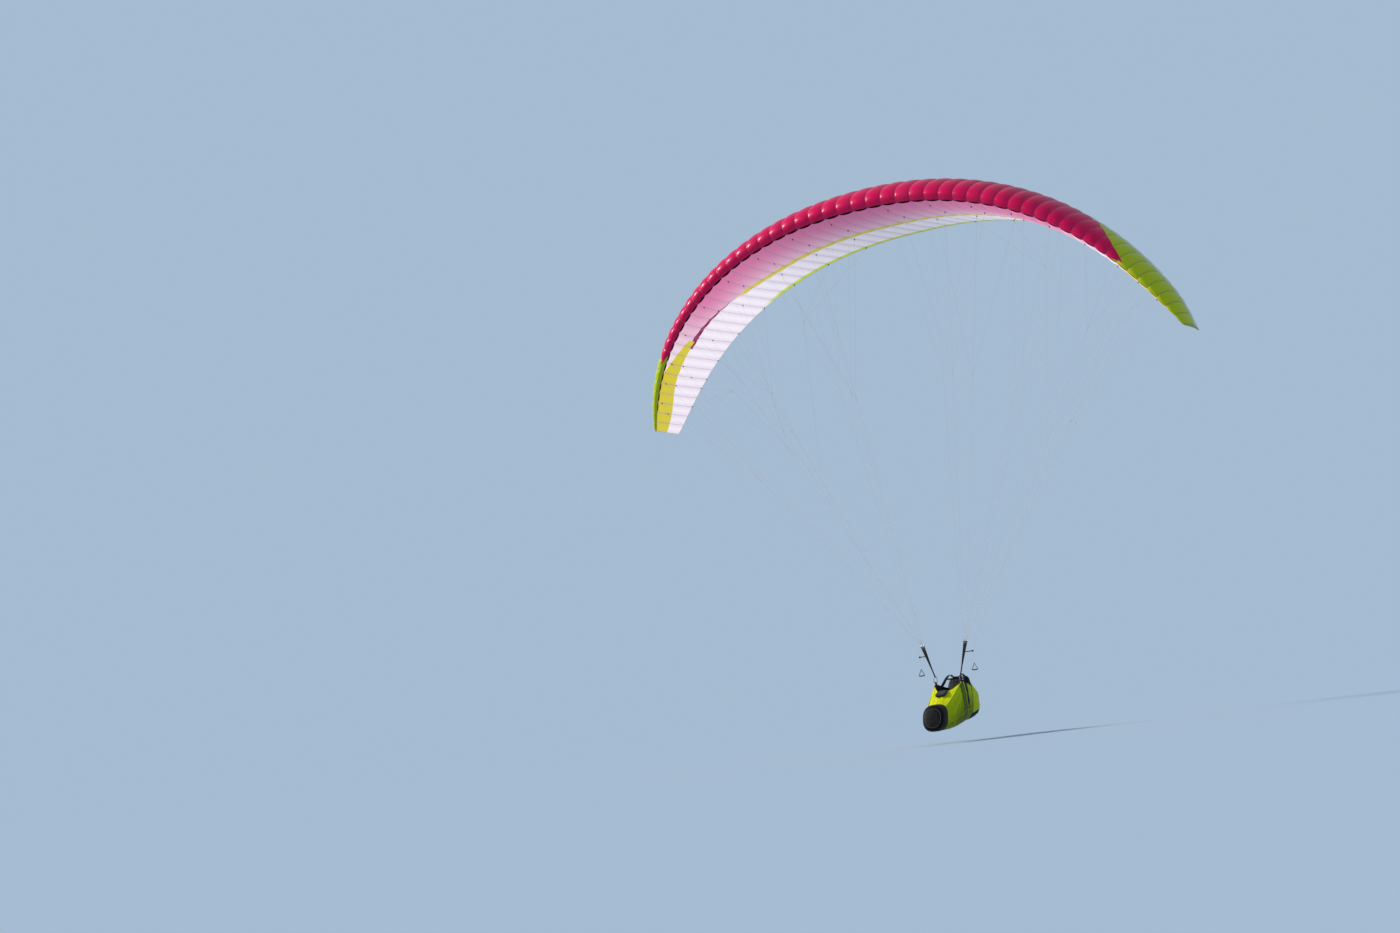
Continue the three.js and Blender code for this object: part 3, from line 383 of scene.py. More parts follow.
# Share of the painted pink glow: less towards the trailing edge and the tip.
glow = (1 - chord.rise(0.02, 0.6) * 0.55) * (1 - rib.rise(13, 20.5) * 0.9)
colour = lower_cloth.mix(glow * (chord < stripe) * PINK_SHARE, WHITE, PINK_THROUGH)
stripe_here = (abs(chord - stripe) < STRIPE_HALF) * (1 - rib.rise(*STRIPE_ENDS))
colour = lower_cloth.mix(stripe_here * STRIPE_SHARE, colour, LIME_THROUGH)
spear = (abs(chord - stripe) < (rib - SPEAR_FIRST) * SPEAR_FLARE) * (rib < SPEAR_LAST)
colour = lower_cloth.mix(spear, colour, MAGENTA_DEEP)
beyond = chord > PANEL_CHORD - (rib - PANEL_CELL) * PANEL_SLANT
tip_panel = (chord < stripe) * beyond * (rib > PANEL_FIRST)
colour = lower_cloth.mix(tip_panel, colour, LIME_THROUGH)
hem_here = (chord > LOWER_HEM) * (1 - rib.rise(*HEM_ENDS))
colour = lower_cloth.mix(hem_here, colour, LIME_HEM)
# The lower skin gives off its colour as a painted emission glow, stronger towards the tips.
cloth_wear_and_painted_light(lower_cloth, colour, 0.013, 0.13, 0.22, 0.34 + rib.rise(0, 15) * 0.66)
# The inside of both skins is painted dark crimson: painted shade for the dim light inside the cells, tinted
# by the magenta top.
inner_face = Finish("inner_face", Roughness=0.7, Specular_IOR_Level=0.1)
inner_face.two_tone(inner_face.noise(6.0), (0.20, 0.008, 0.035, 1), (0.09, 0.004, 0.018, 1))

# The skins. The upper one starts at the top lip of the air intakes under the nose and runs over the
# top to the trailing edge; the lower one starts at their bottom lip. The intakes close at each rib.
INTAKE_MIDDLE, INTAKE_HALF, INTAKE_LAST_CELL = 0.028, 0.007, 25
CLOTH_THICK = 0.0009
ACROSS_CELL = np.array([0, 0.05, 0.14, 0.28, 0.5, 0.72, 0.86, 0.95])
NOSE_STEPS, UPPER_STEPS, LOWER_STEPS = 8, 36, 36
CELL_ROUND, INTAKE_REACH, UPPER_CROWDING, LOWER_CROWDING = 0.75, 1.075, 1.7, 1.35
across = np.concatenate([(np.arange(-CELLS, CELLS)[:, None] + ACROSS_CELL).ravel(), [CELLS]])
in_cell = across - np.floor(across)
balloon = np.sin(np.pi * in_cell) ** CELL_ROUND
open_cell = np.abs(np.floor(across) + 0.5) < INTAKE_LAST_CELL
from_middle = INTAKE_REACH * (2 * in_cell - 1)
lip = INTAKE_HALF * np.where(open_cell, np.sqrt(np.clip(1 - from_middle**2, 0, 1)), 0)
upper_lip, lower_lip = INTAKE_MIDDLE - lip, INTAKE_MIDDLE + lip
over_top = np.linspace(0, 1, UPPER_STEPS) ** UPPER_CROWDING
under_wing = np.linspace(0, 1, LOWER_STEPS) ** LOWER_CROWDING


def grid_area(points):
    """The area of a grid of points, in square metres."""
    edges = points[1:, :-1] - points[:-1, :-1], points[:-1, 1:] - points[:-1, :-1]
    return float(np.linalg.norm(np.cross(*edges), axis=2).sum())


def skin_piece(name, x, face, finish, slot):
    """One skin from a grid of chord shares, with what its finish needs to know at each point."""
    points = skin(across[:, None], x, face, balloon[:, None])
    faces = grid_faces(*x.shape, flip=finish is upper_cloth)
    piece = new_piece(name, points.reshape(-1, 3), faces, finish, inner_face)
    spread = np.broadcast_to(across[:, None], x.shape)
    give(piece, "cell", spread)
    give(piece, "chord", x)
    steps = np.linalg.norm(np.diff(points, axis=1), axis=2)
    give(piece, "run", np.concatenate([np.zeros((len(across), 1)), np.cumsum(steps, 1)], 1))
    width = CENTRE_CELL * (1 - CELL_TAPER * np.abs(spread) / CELLS)
    give(piece, "seam_distance", np.abs(spread - np.round(spread)) * width)
    thicken(piece, CLOTH_THICK, inner=1)
    settle(piece, slot, "wing", *sections)
    return piece, grid_area(points)


sections = [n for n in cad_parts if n.startswith("canopy_")]
under_nose = upper_lip[:, None] * (1 - np.linspace(0, 1, NOSE_STEPS + 1)[None, :-1]) ** 2
upper_x = np.concatenate([under_nose, np.broadcast_to(over_top, (len(across), UPPER_STEPS))], 1)
upper_face = np.concatenate([-np.ones_like(under_nose), np.ones((len(across), UPPER_STEPS))], 1)
upper_skin, upper_area = skin_piece("upper_skin", upper_x, upper_face, upper_cloth, "wing_magenta")
lower_x = lower_lip[:, None] + (1 - lower_lip[:, None]) * under_wing
lower_skin, lower_area = skin_piece("lower_skin", lower_x, -1, lower_cloth, "wing_white")

# The ribs: one stiff cloth profile between every two cells, with holes that let the air pass from cell to
# cell. The two end ribs close the tips.
HOLE_PLACES, HOLE_SHARE, HOLE_SLIM, HOLE_SIDES = (0.13, 0.24, 0.36, 0.49, 0.63), 0.30, 0.85, 14
PROFILE_STEPS, PROFILE_CROWDING, RIB_INSET, RIB_FRONT, RIB_BACK = 22, 1.6, 0.985, 0.004, 0.985
RIB_STRIP, TIP_STRIP = (2.8, 20.1), (0.79, 0.085)
# The ribs are painted dark crimson: painted shade for the dim light inside the cells, tinted by the magenta
# top.
rib_cloth = Finish("rib_cloth", Roughness=0.6)
weave = rib_cloth.noise(60.0, Detail=2.0)
rib_cloth.two_tone(weave, (0.26, 0.05, 0.10, 1), (0.14, 0.02, 0.05, 1), 0.4, 0.0004)
tip_cloth = Finish("tip_cloth", Roughness=0.4, Specular_IOR_Level=0.25)
tip_cloth.two_tone(tip_cloth.noise(6.0, Detail=4.0), LIME, (0.38, 0.48, 0.01, 1), 0.4, 0.004)
ribs, tip_ribs = ([], []), ([], [])
for number in range(-CELLS, CELLS + 1):
    tip = abs(number) == CELLS
    inset = 1.0 if tip else RIB_INSET
    rib_points, rib_faces = tip_ribs if tip else ribs
    first, last = (0.0, 1.0) if tip else (INTAKE_MIDDLE + RIB_FRONT, RIB_BACK)
    x = first + (last - first) * np.linspace(0, 1, PROFILE_STEPS) ** PROFILE_CROWDING
    middle = (skin(number, x, 1, 0) + skin(number, x, -1, 0)) / 2
    top = middle + (skin(number, x, 1, 0) - middle) * inset
    low = middle + (skin(number, x, -1, 0) - middle) * inset
    loops = [[*top, *(low[::-1][1:-1] if tip else low[::-1])]]
    for place in () if tip else HOLE_PLACES:
        above, below = skin(number, place, 1, 0), skin(number, place, -1, 0)
        centre, tall = (above + below) / 2, (above - below) * HOLE_SHARE
        long = np.array([np.linalg.norm(tall) * HOLE_SLIM, 0, 0])
        turns = np.linspace(0, 2 * math.pi, HOLE_SIDES, endpoint=False)
        loops.append([centre + tall * math.sin(t) + long * math.cos(t) for t in turns])
    start = len(rib_points)
    rib_points += [p for loop in loops for p in loop]
    triangles = tessellate_polygon([[Vector(p) for p in loop] for loop in loops])
    rib_faces += [tuple(start + i for i in triangle) for triangle in triangles]
for piece, slot, strip in (
    (new_piece("ribs", *ribs, rib_cloth), "wing_white", RIB_STRIP),
    (new_piece("tip_ribs", *tip_ribs, tip_cloth), "wing_lime", TIP_STRIP),
):
    area = sum(face.area for face in piece.data.polygons)
    thicken(piece, CLOTH_THICK)
    settle(piece, slot, "wing", *sections)


# What repeats or follows a path is grown by Geometry Nodes from points and edges, then kept as a mesh.
class Growth(Tree):
    """A Geometry Nodes tree. Its named inputs are numbers and a finish; grow() makes a plain mesh piece."""

    def __init__(self, name, **inputs):
        self.tree = bpy.data.node_groups.new(name, "GeometryNodeTree")
        inputs = {"Geometry": "Geometry", "finish": "Material", **inputs}
        for key, kind in inputs.items():
            self.tree.interface.new_socket(key, in_out="INPUT", socket_type=f"NodeSocket{kind}")
        self.tree.interface.new_socket("Geometry", in_out="OUTPUT", socket_type="NodeSocketGeometry")
        outputs = self.tree.nodes.new("NodeGroupInput").outputs
        self.given = {key: Field(self, outputs[key]) for key in inputs}
        self.end = self.tree.nodes.new("NodeGroupOutput").inputs[0]

    def close(self, geometry):
        whole = self.node("GeometryNodeRealizeInstances", {}, geometry)
        whole = self.node("GeometryNodeSetShadeSmooth", {}, whole)
        self.join(self.end, self.node("GeometryNodeSetMaterial", {}, whole, Material=self.given["finish"]))

    def grow(self, name, source, finish, **values):
        values["finish"] = finish.material
        modifier = source.modifiers.new("growth", "NODES")
        modifier.node_group = self.tree
        for item in self.tree.interface.items_tree:
            if item.in_out == "INPUT" and item.name in values:
                modifier[item.identifier] = values[item.name]
        mesh = bpy.data.meshes.new_from_object(source.evaluated_get(bpy.context.evaluated_depsgraph_get()))
        bpy.data.objects.remove(source)
        mesh.name = name
        return placed(name, mesh)


def paths(routes, **fields):
    """Source for a growth: each route is a run of points, and fields are lists of values beside them."""
    edges, start = [], 0
    for route in routes:
        edges += [(start + i, start + i + 1) for i in range(len(route) - 1)]
        start += len(route)
    made = placed("paths", bpy.data.meshes.new("paths"))
    made.data.from_pydata([tuple(p) for route in routes for p in route], edges, [])
    for name, values in fields.items():
        give(made, name, np.concatenate([np.ravel(v) for v in values]))
    return made


rope = Growth("rope", sides="Int")
curve = rope.node("GeometryNodeMeshToCurve", {}, rope.given["Geometry"])
girth = rope.node("GeometryNodeInputNamedAttribute", {"data_type": "FLOAT"}, "girth")
ring = rope.node("GeometryNodeCurvePrimitiveCircle", {}, Resolution=rope.given["sides"], Radius=1.0)
rope.close(rope.node("GeometryNodeCurveToMesh", {}, curve, ring, Scale=girth, Fill_Caps=True))


def cords(name, routes, girths, sides, finish):
    """Round cords in one piece. girths is their one radius, or a list of radii for each route."""
    if isinstance(girths, float):
        girths = [[girths] * len(route) for route in routes]
    return rope.grow(name, paths(routes, girth=girths), finish, sides=sides)


# Seams: the rows of thread along every rib on both skins, a tape along the trailing edge and a hem round
# each air intake. They are sewn on.
SEAM_GIRTH, HEM_GIRTH, TAPE_GIRTH = 0.0014, 0.0022, 0.0026
FLAT_SPAN, UPPER_LONG, LOWER_LONG = 2 * HALF_SPAN, 3.0, 2.78
seam_thread = Finish("seam_thread", Roughness=0.7)
seam_thread.two_tone(seam_thread.noise(9.0), (0.36, 0.12, 0.20, 1), (0.48, 0.22, 0.30, 1))
edge_tape = Finish("edge_tape", Roughness=0.5)
edge_tape.two_tone(edge_tape.noise(14.0), LIME, (0.36, 0.44, 0.01, 1), 0.3)
hem_tape = Finish("intake_hem", Roughness=0.5)
hem_tape.two_tone(hem_tape.noise(14.0), MAGENTA, MAGENTA_DEEP, 0.4)
seams = []
for number in range(-CELLS, CELLS + 1):
    front = INTAKE_MIDDLE * (1 - np.linspace(0, 1, NOSE_STEPS)[:-1]) ** 2
    seams.append(np.concatenate([skin(number, front, -1, 0), skin(number, over_top, 1, 0)]))
    seams.append(skin(number, INTAKE_MIDDLE + (1 - INTAKE_MIDDLE) * under_wing, -1, 0))
seam_piece = cords("seams", seams, SEAM_GIRTH, 5, seam_thread)
tape_piece = cords("trailing_edge_tape", [skin(across, 1.0, 1, 0)], TAPE_GIRTH, 6, edge_tape)
hems = [skin(across, upper_lip, -1, balloon), skin(across, lower_lip, -1, balloon)]
hem_piece = cords("intake_hems", hems, HEM_GIRTH, 6, hem_tape)
settle(seam_piece, "wing_white", "wing")
settle(tape_piece, "wing_lime", "wing")
settle(hem_piece, "wing_magenta", "wing")
for piece, long, area, sewn_on in (
    (upper_skin, UPPER_LONG, upper_area, [seam_piece, hem_piece]),
    (lower_skin, LOWER_LONG, lower_area, [tape_piece]),
):
    cut = (FLAT_SPAN, long)

# Line tabs: folded tape sewn into the lower skin's seams, in whose loops the lines end. Each is turned
# along the chord and hangs from its point of the cloth.
TAB_LONG, TAB_WIDE, TAB_THICK = 0.026, 0.013, 0.0014
TAB_HANG, TAB_HOLD = TAB_LONG * 0.42, TAB_LONG * 0.8
tabs = Growth("tabs", long="Float", wide="Float", thick="Float")
wide, long, thick = (tabs.given[key] for key in ("wide", "long", "thick"))
loop = tabs.node("GeometryNodeCurvePrimitiveCircle", {}, Resolution=14, Radius=0.5)
stretch = tabs.node("ShaderNodeCombineXYZ", {}, wide, long, 1.0)
band = tabs.node("GeometryNodeTransform", {}, loop, Scale=stretch)
tape = tabs.node("GeometryNodeCurvePrimitiveQuadrilateral", {}, Width=thick, Height=wide)
tab_mesh = tabs.node("GeometryNodeCurveToMesh", {}, band, tape)
aim = tabs.node("GeometryNodeInputNamedAttribute", {"data_type": "FLOAT_VECTOR"}, "aim")
axes = {"primary_axis": "Y", "secondary_axis": "X"}
turned_tab = tabs.node("FunctionNodeAxesToRotation", axes, aim, (1, 0, 0))
points = tabs.given["Geometry"]
tabs.close(tabs.node("GeometryNodeInstanceOnPoints", {}, points, Instance=tab_mesh, Rotation=turned_tab))

# Suspension lines: polyester-sheathed main lines that each part at a spliced knot into thinner lines,
# which end in loops on cloth tabs sewn to the ribs. The brake lines part twice and end on the trailing edge.
MAIN_GIRTH, BRANCH_GIRTH = 0.0011, 0.0008
SPLICE_GIRTH, SPLICE_LONG, SPLICE_FULL = 1.8, 0.07, 0.8
KNOT_SHARE, BRAKE_KNOT_SHARE, BRAKE_SECOND_SHARE, BRAKE_SPREAD = 0.62, 0.52, 0.80, 0.55
ROW_CHORD = {"A": 0.10, "B": 0.32, "C": 0.60, "brake": 0.985}
FANS = {
    "A1": (2, 5, 8), "A2": (11, 14, 17), "A3": (20, 22, 24),
    "B1": (2, 5, 8), "B2": (11, 14, 17), "B3": (20, 22, 25),
    "C1": (3, 6, 9), "C2": (13, 17, 21),
}
BRAKE_FANS, BRAKE_MIDDLE = {7: (4, 7, 10), 16: (13, 16, 19), 22: (21, 22, 24)}, 16
SIDES = (("left", 1), ("right", -1))


def line_ends(node):
    """The middle of a line's lower and of its upper end."""
    points = [v.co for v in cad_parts[node].data.vertices]
    middle = sum(p.z for p in points) / len(points)
    low = [p for p in points if p.z < middle]
    high = [p for p in points if p.z >= middle]
    return tuple(sum(group, Vector()) / len(group) for group in (low, high))


def spliced(start, end, girth):
    """A taut line with a thicker sewn splice at each end: its points and their girths."""
    long = (end - start).length
    near = [0, SPLICE_LONG * SPLICE_FULL, SPLICE_LONG]
    girths = [girth * SPLICE_GIRTH] * 2 + [girth]
    stops = near + [long - stop for stop in near[::-1]]
    return [start + (end - start).normalized() * stop for stop in stops], girths + girths[::-1]


sheath = Finish("line_sheath", Roughness=0.65)
twist = sheath.texture("Wave", 160.0, {"bands_direction": "Z"}, Distortion=1.5)
sheath.two_tone(twist, (0.62, 0.50, 0.47, 1), (0.46, 0.33, 0.34, 1), 0.4, 0.0002)
tab_tape = Finish("tab_tape", Roughness=0.7)
tab_tape.two_tone(tab_tape.noise(300.0), (0.012, 0.010, 0.012, 1), (0.06, 0.05, 0.055, 1))
tab_points, tab_aims = [], []


def tabbed(start, rib_number, row, girth=BRANCH_GIRTH):
    """A branch that ends in a tab on the lower skin. The tab looks along the line."""
    aim = Vector(skin(rib_number, ROW_CHORD[row], -1, 0))
    along = (start - aim).normalized()
    tab_points.append(aim + along * TAB_HANG)
    tab_aims.append(along)
    return spliced(start, aim + along * TAB_HOLD, girth)


for side_name, side in SIDES:
    for name in (*FANS, "brake"):
        start, end = line_ends(f"line_{name}_{side_name}")
        knot = start + (end - start) * (BRAKE_KNOT_SHARE if name == "brake" else KNOT_SHARE)
        runs = [spliced(start, knot, MAIN_GIRTH)]
        runs += [tabbed(knot, side * number, name[0]) for number in FANS.get(name, ())]
        for number, tops in BRAKE_FANS.items() if name == "brake" else ():
            aim = Vector(skin(side * number, ROW_CHORD["brake"], -1, 0))
            second = start.lerp(end, BRAKE_SECOND_SHARE)
            if number != BRAKE_MIDDLE:
                second = second.lerp(aim, BRAKE_SPREAD)
            runs.append(spliced(knot, second, BRANCH_GIRTH))
            runs += [tabbed(second, side * top, "brake") for top in tops]
        line = cords(f"lines_{name}_{side_name}", *zip(*runs), 6, sheath)
        settle(line, "line_pale", "wing", f"line_{name}_{side_name}")
tab_source = paths([[p] for p in tab_points])
aims = tab_source.data.attributes.new("aim", "FLOAT_VECTOR", "POINT")
aims.data.foreach_set("vector", np.ravel(tab_aims))
line_tabs = tabs.grow("line_tabs", tab_source, tab_tape, long=TAB_LONG, wide=TAB_WIDE, thick=TAB_THICK)
settle(line_tabs, "wing_white", "wing")

# Risers: on each side three black webbing straps, sewn together at the bottom round the carabiner and
# each ending above in an eye round a line link.
HIP, HIP_Y = np.array([-0.35, 0.0, -7.6]), 0.225
UPPER_BAR = 0.048
RISER_TOP_Y, RISER_TOP_Z = 0.375, -7.05
RISER_TALL = RISER_TOP_Z - HIP[2] - UPPER_BAR
RISER_LEAN = (RISER_TOP_Y - HIP_Y) / RISER_TALL
RISER_SPREAD = {"A": 0.055, "B": 0.0, "C": -0.055}
RISER_JOINED, RISER_HEAD, RISER_WIDTH, STRAP_THICK = 0.13, 0.0085, 0.020, 0.0032
RISER_STEPS, EYE_STEPS, EYE_OPENING = 40, 16, 35
BAR_EYE, LINK_EYE = 0.0106, 0.0066
DOUBLED, JOINED = slice(-9, -1), slice(4, 14)
ON_FACE, ON_DOUBLED, STITCH_INSET = 0.53, 1.5, 0.36
STITCH_PITCH = 0.0045
STRAP_PROFILE = (
    (-1, -0.55), (-0.93, -1), (0.93, -1), (1, -0.55), (1, 0.55), (0.93, 1), (-0.93, 1), (-1, 0.55),
)


def smoothed(points, count):
    """Points on a smooth curve through the given ones, which may be rows of a surface too."""
    points = np.asarray(points, float)
    p = np.concatenate([[2 * points[0] - points[1]], points, [2 * points[-1] - points[-2]]])
    t = np.linspace(0, len(points) - 1, count)
    i = np.minimum(t.astype(int), len(points) - 2)
    f = (t - i).reshape(-1, *[1] * (points.ndim - 1))
    a, b, c, d = p[i], p[i + 1], p[i + 2], p[i + 3]
    return 0.5 * (2 * b + (c - a) * f + (2 * a - 5 * b + 4 * c - d) * f**2 + (3 * b - 3 * c + d - a) * f**3)


def unit(v):
    return v / np.linalg.norm(v, axis=-1, keepdims=True)


def solid(piece):
    """Turns all faces of closed shells outward."""
    shell = bmesh.new()
    shell.from_mesh(piece.data)
    bmesh.ops.recalc_face_normals(shell, faces=shell.faces)
    shell.to_mesh(piece.data)
    shell.free()
    return piece


def ring_faces(count, sides, start=0):
    """Faces of a run of rings of points, with both its ends filled."""
    ends = [tuple(reversed(range(sides))), tuple(range((count - 1) * sides, count * sides))]
    return [tuple(start + i for i in face) for face in grid_faces(count, sides, wrap=True) + ends]


def shell_piece(name, rings, finish):
    """A closed piece with its faces outward, from a run of rings of points."""
    rings = np.asarray(rings, float)
    return solid(new_piece(name, rings.reshape(-1, 3), ring_faces(*rings.shape[:2]), finish))


def webbing(name, routes, finish, thick=STRAP_THICK):
    """Flat woven straps in one piece. Each route is (points, the direction of its width at each, width)."""
    points, faces, along, sideways = [], [], [], []
    for path, wide, width in routes:
        path = np.asarray(path, float)
        wide = unit(np.broadcast_to(np.asarray(wide, float), path.shape))
        facing_out = unit(np.cross(np.gradient(path, axis=0), wide))
        run = np.concatenate([[0], np.cumsum(np.linalg.norm(np.diff(path, axis=0), axis=1))])
        faces += ring_faces(len(path), len(STRAP_PROFILE), len(points))
        for i, place in enumerate(path):
            for u, v in STRAP_PROFILE:
                points.append(place + wide[i] * u * width / 2 + facing_out[i] * v * thick / 2)
                along.append(run[i])
                sideways.append(u * width / 2)
    made = new_piece(name, points, faces, finish)
    give(made, "run", along)
    give(made, "sideways", sideways)
    return solid(made)


stitches = Growth("stitches", pitch="Float", width="Float")
curve = stitches.node("GeometryNodeMeshToCurve", {}, stitches.given["Geometry"])
resample = {"mode": "LENGTH"}
places = stitches.node("GeometryNodeResampleCurve", resample, curve, Length=stitches.given["pitch"])
tangent = stitches.node("GeometryNodeInputTangent", {})
turn = stitches.node("FunctionNodeAlignRotationToVector", {"axis": "X"}, Vector=tangent)
grain = stitches.node("GeometryNodeMeshIcoSphere", {}, Radius=0.5, Subdivisions=1)
width = stitches.given["width"]
size = stitches.node("ShaderNodeCombineXYZ", {}, stitches.given["pitch"] * 0.72, width, width)
sewn = {"Instance": grain, "Rotation": turn, "Scale": size}
stitches.close(stitches.node("GeometryNodeInstanceOnPoints", {}, places, **sewn))


def stitched(name, routes, finish, pitch=STITCH_PITCH, width=0.0010):
    """Rows of stitches in one piece, along routes."""
    return stitches.grow(name, paths(routes), finish, pitch=pitch, width=width)


# Webbing: ribs of thread along the strap, crossed by a fine twill, with slightly worn edges.
WEBBING_RIB, WEBBING_TWILL = 0.0028, 0.0016
black_webbing = Finish("black_webbing", Roughness=0.62, Specular_IOR_Level=0.2)
run, sideways = black_webbing.attribute("run"), black_webbing.attribute("sideways")
ribs_along = (sideways * (2 * math.pi / WEBBING_RIB)).apply("SINE")
twill = ((run + sideways) * (2 * math.pi / WEBBING_TWILL)).apply("SINE")
worn = black_webbing.noise(35.0, Detail=4.0).rise(0.3, 0.8)
shade = twill * 0.2 + ribs_along * 0.2 + worn * 0.6
black_webbing.two_tone(shade, (0.006, 0.006, 0.007, 1), (0.028, 0.028, 0.032, 1))
black_webbing.bump(ribs_along + twill * 0.5, 0.0004)
thread_pale = Finish("thread_pale", Roughness=0.5)
thread_pale.two_tone(thread_pale.noise(80.0), (0.36, 0.07, 0.18, 1), (0.50, 0.14, 0.28, 1))


def eye_route(radius, towards):
    """A strap's way round a bar, in its own plane: an arc left open towards the strap."""
    turns = np.linspace(math.radians(EYE_OPENING), math.radians(360 - EYE_OPENING), EYE_STEPS)
    return [(radius * math.cos(towards + a), radius * math.sin(towards + a)) for a in turns]


def riser_place(side, x, z):
    """A point of a riser, x ahead of its middle and z above the carabiner's upper bar."""
    return HIP[0] + x, side * (HIP_Y + RISER_LEAN * z), HIP[2] + UPPER_BAR + z


for side_name, side in SIDES:
    wide = (0, side, 0)
    routes = [([riser_place(side, *p) for p in eye_route(BAR_EYE, math.pi / 2)], wide, RISER_WIDTH)]
    sewn = []
    for order, (row, spread) in enumerate(RISER_SPREAD.items()):
        foot, head = (1 - order) * STRAP_THICK, RISER_TALL - RISER_HEAD
        path = [(foot * 0.9, 0.008), (foot, 0.05), (foot, RISER_JOINED - 0.02)]
        path.append((foot + spread * 0.05, RISER_JOINED + 0.02))
        for t in (0.25, 0.5, 0.75, 1):
            path.append((foot + (spread - foot) * t, RISER_JOINED + (head - RISER_JOINED) * t))
        line = smoothed([riser_place(side, *p) for p in path], RISER_STEPS)
        ring = [riser_place(side, spread + x, RISER_TALL + z) for x, z in eye_route(LINK_EYE, -math.pi / 2)]
        out = unit(np.cross(np.gradient(line, axis=0), wide)) * STRAP_THICK
        routes += [(line, wide, RISER_WIDTH), (ring, wide, RISER_WIDTH)]
        routes.append((line[DOUBLED] + out[DOUBLED] * 0.95, wide, RISER_WIDTH))
        for inset in (-STITCH_INSET, STITCH_INSET):
            row_side = line + np.array(wide) * inset * RISER_WIDTH
            sewn.append((row_side + out * ON_DOUBLED)[DOUBLED])
            sewn.append((row_side - out * ON_FACE)[DOUBLED])
            if order != 1:
                outward = (1 - order) * math.copysign(ON_FACE, out[8][0])
                sewn.append((row_side + out * outward)[JOINED])
    riser = webbing(f"riser_webbing_{side_name}", routes, black_webbing)
    thread = stitched(f"riser_thread_{side_name}", sewn, thread_pale, width=0.0009)
    settle(riser, "webbing_black", "wing", f"riser_{side_name}")
    settle(thread, "webbing_black", "wing")

# Line links: small steel rings, each closed by a screw sleeve with flats on its outer side.
LINK_BAR, LINK_PITCH, LINK_INSIDE, LINK_CORNER = 0.0046, 0.0306, 0.026, 0.009
LINK_SLEEVE = ((-0.0072, 0.0026), (-0.0062, 0.0035), (0.0062, 0.0035), (0.0072, 0.0026))
steel = Finish("link_steel", Metallic=1.0)
scratch = steel.noise(240.0, Detail=3.0)
steel.two_tone(scratch, (0.52, 0.53, 0.55, 1), (0.68, 0.69, 0.70, 1))
steel.put("Roughness", 0.22 + scratch * 0.2)


def ring_route(centre, half_wide, half_tall, corner, steps=7):
    """A rounded rectangle in the plane across the flight direction, closed by repeating its start."""
    route = []
    for quarter, (sy, sz) in enumerate(((1, -1), (1, 1), (-1, 1), (-1, -1))):
        for t in np.linspace(0, math.pi / 2, steps):
            angle = (quarter - 1) * math.pi / 2 + t
            y = sy * (half_wide - corner) + corner * math.cos(angle)
            z = sz * (half_tall - corner) + corner * math.sin(angle)
            route.append(centre + np.array([0, y, z]))
    return np.array(route + route[:1])


def turned(middle, axis, table):
    """A turned part: (place along the axis, radius) rows to a route and its girths."""
    return [middle + np.multiply(axis, place) for place, _ in table], [girth for _, girth in table]


for side_name, side in SIDES:
    for row, spread in RISER_SPREAD.items():
        centre = np.array([HIP[0] + spread, side * RISER_TOP_Y, RISER_TOP_Z + LINK_PITCH / 2])
        half = (LINK_INSIDE + LINK_BAR) / 2
        bend = ring_route(centre, half, LINK_PITCH / 2, LINK_CORNER)
        sleeve = turned(centre + [0, side * half, 0], (0, 0, 1), LINK_SLEEVE)
        parts = [(bend, [LINK_BAR / 2] * len(bend)), sleeve]
        link = cords(f"link_{row}_{side_name}", *zip(*parts), 12, steel)
        settle(link, "link_steel", "wing", f"line_link_{row}_{side_name}")

# Carabiners: forged alloy rings with a spring gate on the outer side, held by a turned sleeve.
RING_HALF, RING_TALL, RING_CORNER, RING_GIRTH = 0.0285, 0.048, 0.018, 0.0053
GATE_SLEEVE = (
    (-0.024, 0.0056), (-0.022, 0.0072), (-0.008, 0.0072), (-0.006, 0.0062),
    (0.006, 0.0062), (0.008, 0.0072), (0.022, 0.0072), (0.024, 0.0056),
)
GATE_NOSE = ((0.0245, 0.0054), (0.0255, 0.0064), (0.030, 0.0064), (0.031, 0.0054))
alloy = Finish("carabiner_alloy", Metallic=1.0)
scratch = alloy.noise(160.0, Detail=4.0)
alloy.two_tone(scratch, (0.20, 0.21, 0.23, 1), (0.32, 0.33, 0.36, 1))
alloy.put("Roughness", 0.28 + scratch * 0.22)
for side_name, side in SIDES:
    centre = np.array([HIP[0], side * HIP_Y, HIP[2]])
    bend = ring_route(centre, RING_HALF, RING_TALL, RING_CORNER, 10)
    gate = centre + [0, side * RING_HALF, 0]
    parts = [(bend, [RING_GIRTH] * len(bend))]
    parts += [turned(gate, (0, 0, 1), table) for table in (GATE_SLEEVE, GATE_NOSE)]
    carabiner = cords(f"carabiner_ring_{side_name}", *zip(*parts), 16, alloy)
    settle(carabiner, "carabiner_alloy", "wing", f"carabiner_{side_name}")

# Brakes: on each side a stiff tab standing off the rear strap with a pulley at its end, the line that
# runs down through it, and the handle, a webbing loop with a padded grip.
PULLEY_Z, BRAKE_Y, BECKET_INSET = -7.21, 0.465, 0.012
TAB_HEIGHT, TAB_START, TAB_END = 0.014, 0.006, 0.011
PULLEY_PARTS = (
    ((-0.0022, 0.0135), (-0.0032, 0.015), (-0.0060, 0.015), (-0.0070, 0.012)),
    ((0.0022, 0.0135), (0.0032, 0.015), (0.0060, 0.015), (0.0070, 0.012)),
    ((-0.0026, 0.012), (-0.0012, 0.0095), (0.0012, 0.0095), (0.0026, 0.012)),
    ((-0.0074, 0.0025), (-0.0073, 0.0035), (0.0073, 0.0035), (0.0074, 0.0025)),
)
BECKET = ((-0.017, 0.002), (-0.016, 0.0026), (0.016, 0.0026), (0.017, 0.002))
